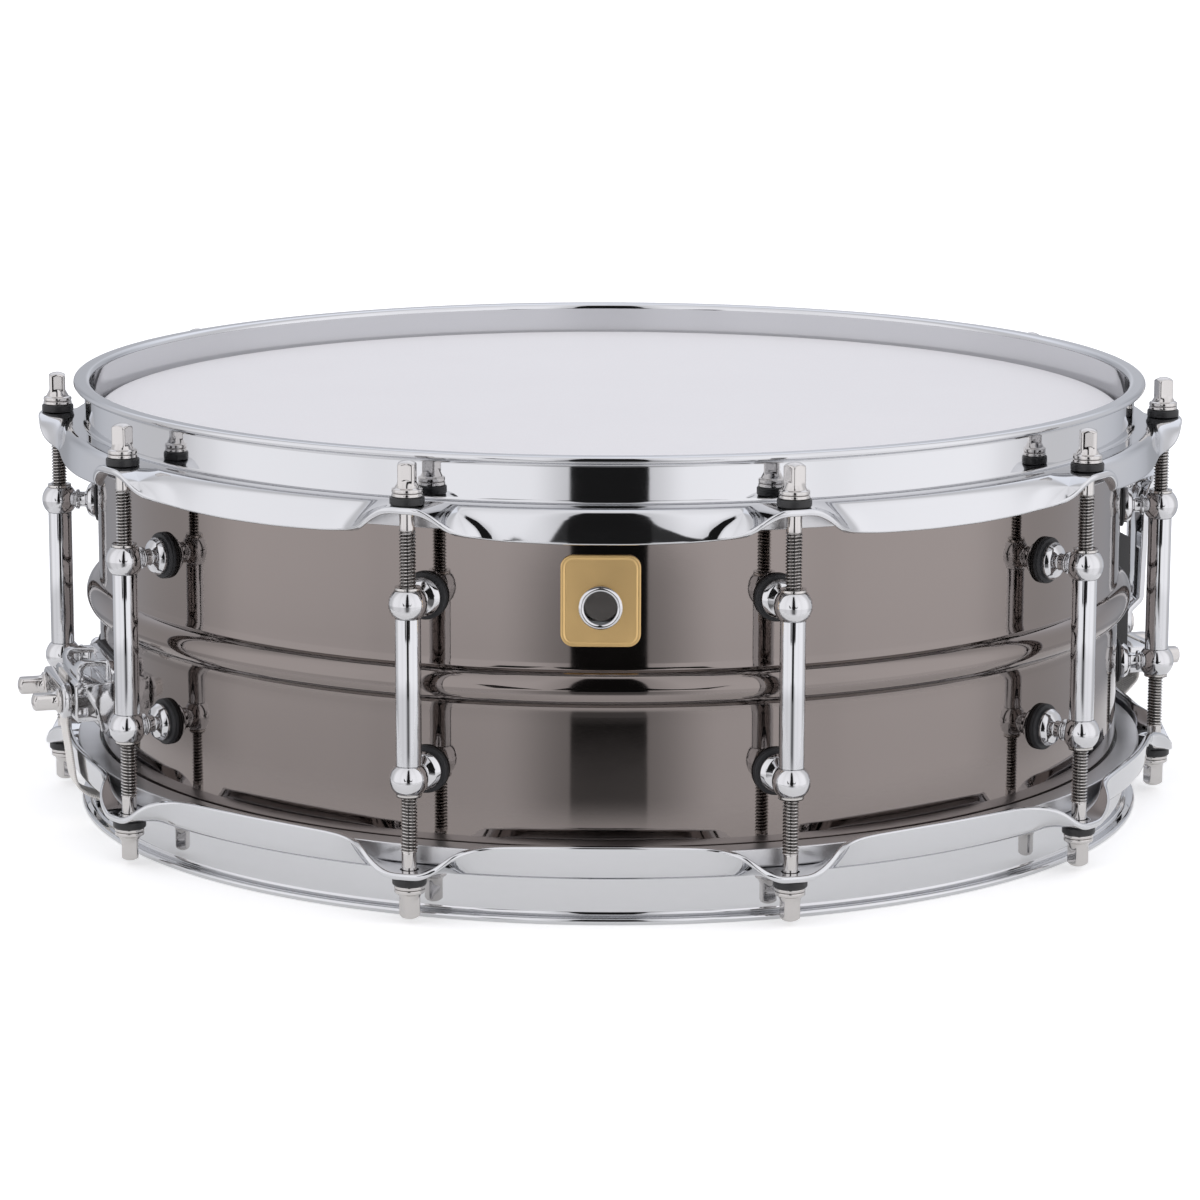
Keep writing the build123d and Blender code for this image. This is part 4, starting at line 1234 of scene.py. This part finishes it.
# --------------------------------------------------- pieces kept from the CAD
KEPT = {
    "strainer_base": "black_enamel", "strainer_slider": "chrome_casting",
    "strainer_clamp_plate": "chrome_casting", "butt_base": "chrome_casting",
    "butt_clamp_plate": "chrome_casting", "strainer_gasket": "rubber_gasket",
    "butt_gasket": "rubber_gasket", "vent_washer": "zinc_steel", "lug_screws": "zinc_steel",
    "lug_washers": "zinc_steel", "mount_screws": "zinc_steel", "mount_washers": "zinc_steel",
}
KEPT_SHARP = radians(40)
for node, material in KEPT.items():
    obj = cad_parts[node]
    obj.data.materials.clear()
    obj.data.materials.append(MATERIALS[material])
    weld = obj.modifiers.new("weld", "WELD")
    weld.merge_threshold = 2e-6
    bevel = obj.modifiers.new("edge", "BEVEL")
    bevel.limit_method = "ANGLE"
    bevel.angle_limit = KEPT_SHARP
    bevel.width = 0.00015 if material == "zinc_steel" else 0.00028
    bevel.segments = 3
    bevel.use_clamp_overlap = True
    for polygon in obj.data.polygons:
        polygon.use_smooth = True
    obj.data.set_sharp_from_angle(angle=KEPT_SHARP)

# ---------------------------------------------------------------------- world
scene = bpy.context.scene
# studio brightness: half turns away from -Y, level
HIGH_LEVELS = [(0.0, 0.90), (0.09, 0.98), (0.2, 1.0), (0.27, 0.93), (0.31, 0.97), (0.45, 1.0),
               (0.53, 0.84), (0.62, 0.66), (0.72, 0.72), (0.80, 0.95), (1.0, 1.0)]
LOW_LEVELS = [(0.0, 0.90), (0.09, 0.98), (0.2, 1.0), (0.27, 0.93), (0.31, 0.97), (0.45, 1.0),
              (0.53, 0.84), (0.62, 0.62), (0.69, 0.62), (0.76, 0.57), (0.82, 0.46),
              (0.87, 0.33), (0.93, 0.30), (1.0, 0.40)]
# top of the dark patch on the +X side: part of its width, part of its height
PATCH_TOP = [(0.0, 0.75), (0.06, 0.47), (0.2, 0.23), (0.39, 0.11), (0.55, 0.165),
             (0.76, 0.43), (0.9, 0.71), (1.0, 0.93)]


def dark_room(tree, azimuth, elevation):
    """Dark room seen under the lights, just above the floor: 1 where it is dark."""
    step, mul, mul_add, sub = tree.step, tree.mul, tree.mul_add, tree.sub
    # patch on the +X side, with a curved top and a leaning far edge
    across = tree.math("DIVIDE", sub(azimuth, 9.0), 17.0, clamp=True)
    top = mul_add(tree.curve(across, PATCH_TOP), times=14.0, plus=-0.9)
    edge = mul_add(elevation, times=0.3, plus=23.2)
    sides = mul(step(azimuth, (4.0, 6.0)), step(sub(edge, azimuth), (0.0, 0.8)))
    patch = mul(step(sub(top, elevation), (0.0, 0.8)), sides)
    # leaning bar on the -X side
    middle = mul_add(elevation, times=-0.45, plus=-19.8)
    half = mul_add(elevation, times=-0.2, plus=4.2)
    bar = step(sub(tree.abs(sub(azimuth, middle)), half), (0.4, -0.4))
    # strip near the middle, its -X edge slanted
    slant = mul_add(sub(elevation, 8.0), times=0.24, plus=-7.8)
    strip = mul(step(sub(azimuth, slant), (-0.3, 0.3)), step(azimuth, (2.0, 0.0)))
    room = tree.max(patch, tree.max(bar, strip))
    return mul(room, mul(step(elevation, (-5.0, -4.2)), step(elevation, (13.0, 11.0))))


def studio_level(tree, azimuth, off_front, elevation):
    """Brightness of the studio by direction; spans are in degrees."""
    step, mul, mul_add, sub = tree.step, tree.mul, tree.mul_add, tree.sub
    half_turns = tree.math("DIVIDE", off_front, 180.0)
    lift = step(elevation, (12.0, 38.0))
    level = tree.add(mul(tree.curve(half_turns, HIGH_LEVELS), lift),
                     mul(tree.curve(half_turns, LOW_LEVELS), sub(1.0, lift)))
    # the backdrop, on the +Y side, stands a little lighter above the horizon
    band = mul(step(elevation, (-4.0, 5.0)), step(elevation, (30.0, 14.0)))
    backdrop = mul(step(off_front, (150.0, 165.0)), band)
    level = mul(level, mul_add(backdrop, times=0.45, plus=1.0))
    level = mul(level, 1.14)
    # the light on the +X side is a touch stronger
    level = mul(level, step(azimuth, (-30.0, 60.0), levels=(1.0, 1.06)))
    # lights fall off a little towards the ceiling, and towards the floor
    level = mul(level, step(elevation, (20.0, 75.0), levels=(1.0, 0.88)))
    kept = step(azimuth, (-40.0, 60.0), levels=(0.76, 0.88))
    drop = step(elevation, (-13.5, -10.6), levels=(-1.0, 0.0))
    level = mul(level, mul_add(sub(1.0, kept), times=drop, plus=1.0))
    # dark gap between the two lights, open overhead
    off_gap = tree.abs(sub(azimuth, 0.9))
    overhead = step(elevation, (60.0, 70.0))
    glow = mul(step(elevation, (-12.95, -13.6)), 0.33)
    gap = tree.max(tree.max(step(off_gap, (8.0, 8.5)), overhead), glow)
    narrow = step(off_gap, (8.0, 17.0), levels=(0.72, 1.0))
    wide = step(off_gap, (8.0, 25.0), levels=(0.50, 1.0))
    below = step(elevation, (-10.3, -11.0))
    shade = tree.add(mul(narrow, sub(1.0, below)), mul(wide, below))
    level = mul(mul(level, gap), tree.max(shade, overhead))
    room = dark_room(tree, azimuth, elevation)
    level = mul(level, sub(1.0, mul(room, 0.97)))
    return tree.add(level, 0.012)


def build_world():
    """Studio seen in reflections and light, plain white to the camera."""
    scene.world = bpy.data.worlds.new("studio")
    tree = ShaderTree(scene.world)
    mul, mul_add = tree.mul, tree.mul_add
    output = tree.new("OutputWorld")
    direction = tree.new("VectorMath", {0: tree.new("TexCoord").outputs["Generated"]},
                         operation="NORMALIZE")
    x, y, z = tree.separate(direction.outputs[0])
    # degrees: 0 towards -Y and positive towards +X; elevation above the horizon
    azimuth = mul(tree.math("ARCTAN2", x, mul(y, -1.0)), 180 / pi)
    elevation = mul(tree.math("ARCSINE", z), 180 / pi)
    off_front = tree.abs(azimuth)
    level = studio_level(tree, azimuth, off_front, elevation)
    # slightly cooler towards +Y
    cool = tree.step(off_front, (110.0, 150.0))
    colour = tree.new("CombineColor", {
        0: mul(level, mul_add(cool, times=-0.03, plus=1.0)),
        1: mul(level, 0.995),
        2: mul(level, mul_add(cool, times=0.05, plus=1.025)),
    })
    studio = tree.new("Background", {"Color": colour.outputs[0]})
    white = tree.new("Background", {"Color": (1, 1, 1, 1), "Strength": 1.05})
    to_camera = tree.new("LightPath").outputs["Is Camera Ray"]
    tree.put(output.inputs[0], tree.mix_shader(to_camera, studio, white))


# ---------------------------------------------------------------------- floor
FLOOR_RADII = (50, 200, 400, 1000, 3000, 12000)


def floor_material():
    """White paper that lights itself a little."""
    material = bpy.data.materials.new("floor_paper")
    tree = ShaderTree(material)
    output = tree.new("OutputMaterial")
    tree.coords = tree.new("TexCoord").outputs["Object"]
    # a little darker in reflections
    in_mirror = tree.new("LightPath").outputs["Is Glossy Ray"]
    lit = tree.mul_add(in_mirror, times=-0.20, plus=1.0)
    paper = tree.mix(tree.noise(scale=120.0, detail=5.0),
                     (0.86, 0.86, 0.86, 1), (0.90, 0.90, 0.90, 1))
    shaded = tree.new("VectorMath", {0: paper, "Scale": lit}, operation="SCALE")
    diffuse = tree.new("BsdfDiffuse", {"Color": shaded.outputs[0]})
    emission = tree.new("Emission", {"Strength": tree.mul(lit, 0.42)})
    both = tree.new("AddShader", {0: diffuse.outputs[0], 1: emission.outputs[0]})
    # mirrors see the paper only close by (metres); farther out they see the studio
    distance = tree.new("VectorMath", {0: tree.coords}, operation="LENGTH")
    near = tree.step(distance.outputs["Value"], span=(0.345, 0.28))
    in_mirror = tree.new("LightPath").outputs["Is Glossy Ray"]
    seen = tree.max(tree.sub(1.0, in_mirror), near)
    shader = tree.mix_shader(seen, tree.new("BsdfTransparent"), both)
    tree.put(output.inputs[0], shader)
    return material


def build_floor():
    """Disc at the level of the snare hoop's lip."""
    count = 128
    rings = [[(radius * cos(tau * k / count), radius * sin(tau * k / count), -LIP_Z)
              for k in range(count)] for radius in FLOOR_RADII]
    verts, faces = grid(np.array(rings), False, True)
    mesh = bpy.data.meshes.new("floor")
    mesh.from_pydata((verts * MM).tolist(), [], faces + [tuple(range(count))])
    floor = bpy.data.objects.new("floor", mesh)
    scene.collection.objects.link(floor)
    mesh.materials.append(floor_material())


# ---------------------------------------------------------- camera and render
CAMERA_PLACE = (0.0, -1.49866, 0.29220)    # metres, before the swing
# degrees: heading off +Y, downward tilt, roll, then a swing of it all about the drum
YAW, PITCH, ROLL, SWING = (radians(angle) for angle in (-0.117, 11.299, 0.139, 0.8))


def build_camera():
    data = bpy.data.cameras.new("camera")
    data.lens = 130.49
    data.sensor_width = 36.0
    data.clip_end = 50.0
    camera = bpy.data.objects.new("camera", data)
    scene.collection.objects.link(camera)
    forward = Vector((sin(YAW) * cos(PITCH), cos(YAW) * cos(PITCH), -sin(PITCH)))
    level_right = Vector((cos(YAW), -sin(YAW), 0.0))
    level_up = level_right.cross(forward)
    right = level_right * cos(ROLL) + level_up * sin(ROLL)
    up = level_up * cos(ROLL) - level_right * sin(ROLL)
    matrix = Matrix((right, up, -forward)).transposed().to_4x4()
    matrix.translation = Vector(CAMERA_PLACE)
    camera.matrix_world = Matrix.Rotation(SWING, 4, "Z") @ matrix
    scene.camera = camera


build_world()
build_floor()
build_camera()
scene.view_settings.view_transform = "Standard"
scene.view_settings.look = "None"
scene.cycles.use_denoising = True
scene.cycles.max_bounces = 10
scene.cycles.glossy_bounces = 8
scene.cycles.sample_clamp_indirect = 6.0
